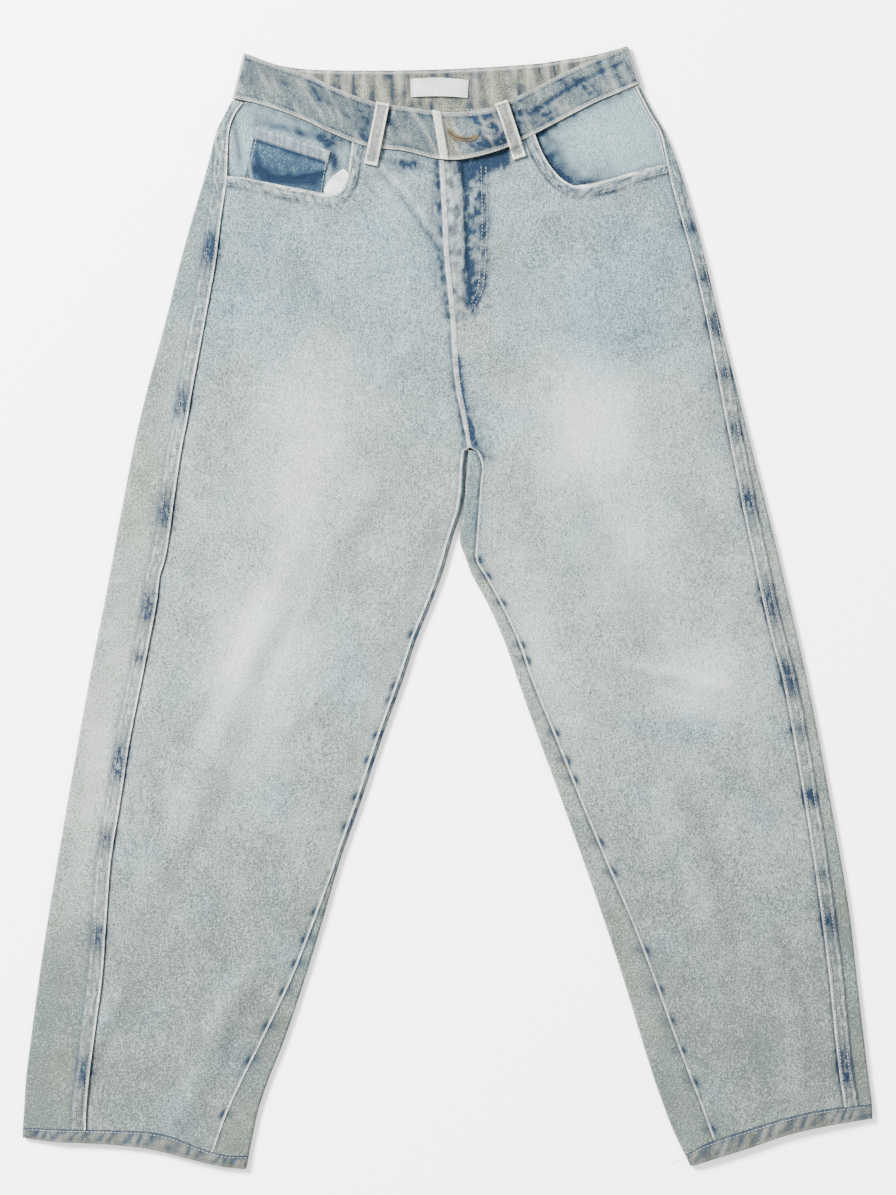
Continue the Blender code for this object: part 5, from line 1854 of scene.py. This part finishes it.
def make_loop(place):
    """A belt loop from its top end to its low one, with its stitches and bar tacks."""
    leg = place["leg"]
    run_x = place["low_x"] - place["top_x"]
    run_y = place["low_y"] - place["top_y"]
    length = math.hypot(run_x, run_y)
    across_x = -run_y / length
    across_y = run_x / length

    def height(x, y):
        on_band = band_height(x, y, leg.out > 0) + BAND
        on_panel = front_height(leg, x, y) + DENIM
        share = smooth((waist(x) - 2.0 - y) / 6)
        return mix(on_band, on_panel, share) + SEAM_ROOM

    def spot(share, side):
        x = place["top_x"] + run_x * share + across_x * side * LOOP_WIDTH
        y = place["top_y"] + run_y * share + across_y * side * LOOP_WIDTH
        return x, y

    def detail(x, y):
        along = (x - place["top_x"]) * run_x + (y - place["top_y"]) * run_y
        share = along / length**2
        across = (x - place["top_x"]) * across_x + (y - place["top_y"]) * across_y
        edge = LOOP_WIDTH / 2 - abs(across)
        small = rough(x, y, 3, 4, 51.0)
        end = min(share, 1 - share) * length
        rise = 0.3 * bump_at(edge - 1.2, 1.2) - 0.25 * bump_at(edge - 3, 0.8)
        rise += 0.3 * (small - 0.5) + 0.4 * bump_at(end - 1.5, 1.5)
        pale = 0.75 * bump_at(edge - 0.8, 1.3) + 0.8 * bump_at(end - 1.2, 1.8)
        pale += 0.25 * small
        indigo_and_shade = 0.55 * bump_at(across, 2.6) * small * smooth((share - 0.35) / 0.3)
        indigo_and_shade += 0.35 * bump_at(edge - 2.9, 0.7) + 0.5 * bump_at(end - 4, 1.0)
        return rise, limited(0.26, 0.3, indigo_and_shade, pale)

    def on_loop(share, side, rise):
        x, y = spot(share, side)
        return x, y, height(x, y) + LOOP_THICK + detail(x, y)[0] + rise

    name = f"{leg.name}_belt_loop"
    grid = [[spot(share, side) for side in steps(-0.5, 0.5, 16)] for share in steps(0, 1, 60)]
    loop = over_grid(name, grid, height, LOOP_THICK, detail, denim_band)
    rows = []
    for side in (-0.27, 0.27):
        rows.append([on_loop(share, side, THREAD_RISE) for share in steps(0.06, 0.94, 19)])
    tacks = []
    for share in (0.045, 0.87):
        tacks.append([on_loop(share, side, TACK_RISE) for side in steps(-0.4, 0.4, 11)])
    on_it = [
        stitched(f"{name}_stitches", rows, spacing=2.8, length=2.2, width=0.6),
        stitched(f"{name}_bar_tacks", tacks, spacing=0.75, length=2.0, width=0.6, turn=90),
    ]
    node = f"belt_loop_{leg.name}"
    laid(loop, node)


for place in BELT_LOOPS:
    make_loop(place)


# Label
# A bare woven tape, sewn inside the back of the waistband along its two ends, a little arched.
LABEL = table(
    "low_x low_y high_x high_y",
    (-33.4, 470.9, -33.9, 487.6),
    (-7, 471.6, -6.8, 488.4),
    (18.6, 470.2, 19.4, 486.4),
)
LABEL_ENDS = (-33.6, 19.0)
LABEL_THICK = 0.8
tape = cotton("bare woven label tape", "#a8a8a5", "#85878a", 1400.0, 0.6)


def arched(x):
    """0 at the label's sewn ends, rising to 1 between them."""
    return smooth(min(x - LABEL_ENDS[0], LABEL_ENDS[1] - x) / 9)


def label_height(x, y):
    return BAND + GATHER * LEFT_UNDER_LABEL + GAP + 0.7 * arched(x)


def label_detail(x, y):
    return 0.27 * arched(x) + 0.075 * (rough(x, y, 9, 20, 61.0) - 0.5), NO_WEAR


label_grid = patch(LABEL, 40, 12)
label = over_grid("bare_label", label_grid, label_height, LABEL_THICK, label_detail, tape)
rows = [[(x, y, BAND + 1.4) for y in levels(472.5, 486, 2)] for x in (-32.2, 17.6)]
on_it = [stitched("label_stitches", rows, spacing=2.2, length=1.6, width=0.5, height=0.4)]
laid(label, "label")


# Studio
# A pale table top under soft light from the upper left, with the camera straight above.
floor_finish = bpy.data.materials.new("matte white table top")
floor_finish.use_nodes = True
floor_shader = floor_finish.node_tree.nodes["Principled BSDF"]
floor_shader.inputs["Base Color"].default_value = linear("#f2f2f3")
floor_shader.inputs["Roughness"].default_value = 0.9
floor_shader.inputs["Specular IOR Level"].default_value = 0.1
# 8 m square, and 0.3 mm lower than the jeans so that the two faces don't fight
corners = [(x, y, -0.0003) for x, y in ((-4, -4), (4, -4), (4, 4), (-4, 4))]
data = bpy.data.meshes.new("table_top")
data.from_pydata(corners, [], [(0, 1, 2, 3)])
data.materials.append(floor_finish)
table_top = in_scene("table_top", data)

world = bpy.data.worlds.new("soft room light")
world.use_nodes = True
world.node_tree.nodes["Background"].inputs["Color"].default_value = (1.0, 1.0, 1.0, 1.0)
world.node_tree.nodes["Background"].inputs["Strength"].default_value = 1.6
bpy.context.scene.world = world


def soft_light(name, place, size, power):
    """A square softbox that faces the jeans."""
    lamp = bpy.data.lights.new(name, "AREA")
    lamp.energy = power
    lamp.size = size
    holder = in_scene(name, lamp)
    holder.location = place
    holder.rotation_euler = (-Vector(place)).to_track_quat("-Z", "Y").to_euler()


soft_light("key softbox", (-3.4, 2.6, 2.9), 1.5, 2300.0)
soft_light("fill softbox", (3.0, -2.0, 3.4), 2.0, 160.0)

camera = bpy.data.cameras.new("overhead camera")
camera.lens = 85
holder = in_scene("overhead camera", camera)
holder.location = (0.0006, 0.0097, 2.603)
bpy.context.scene.camera = holder
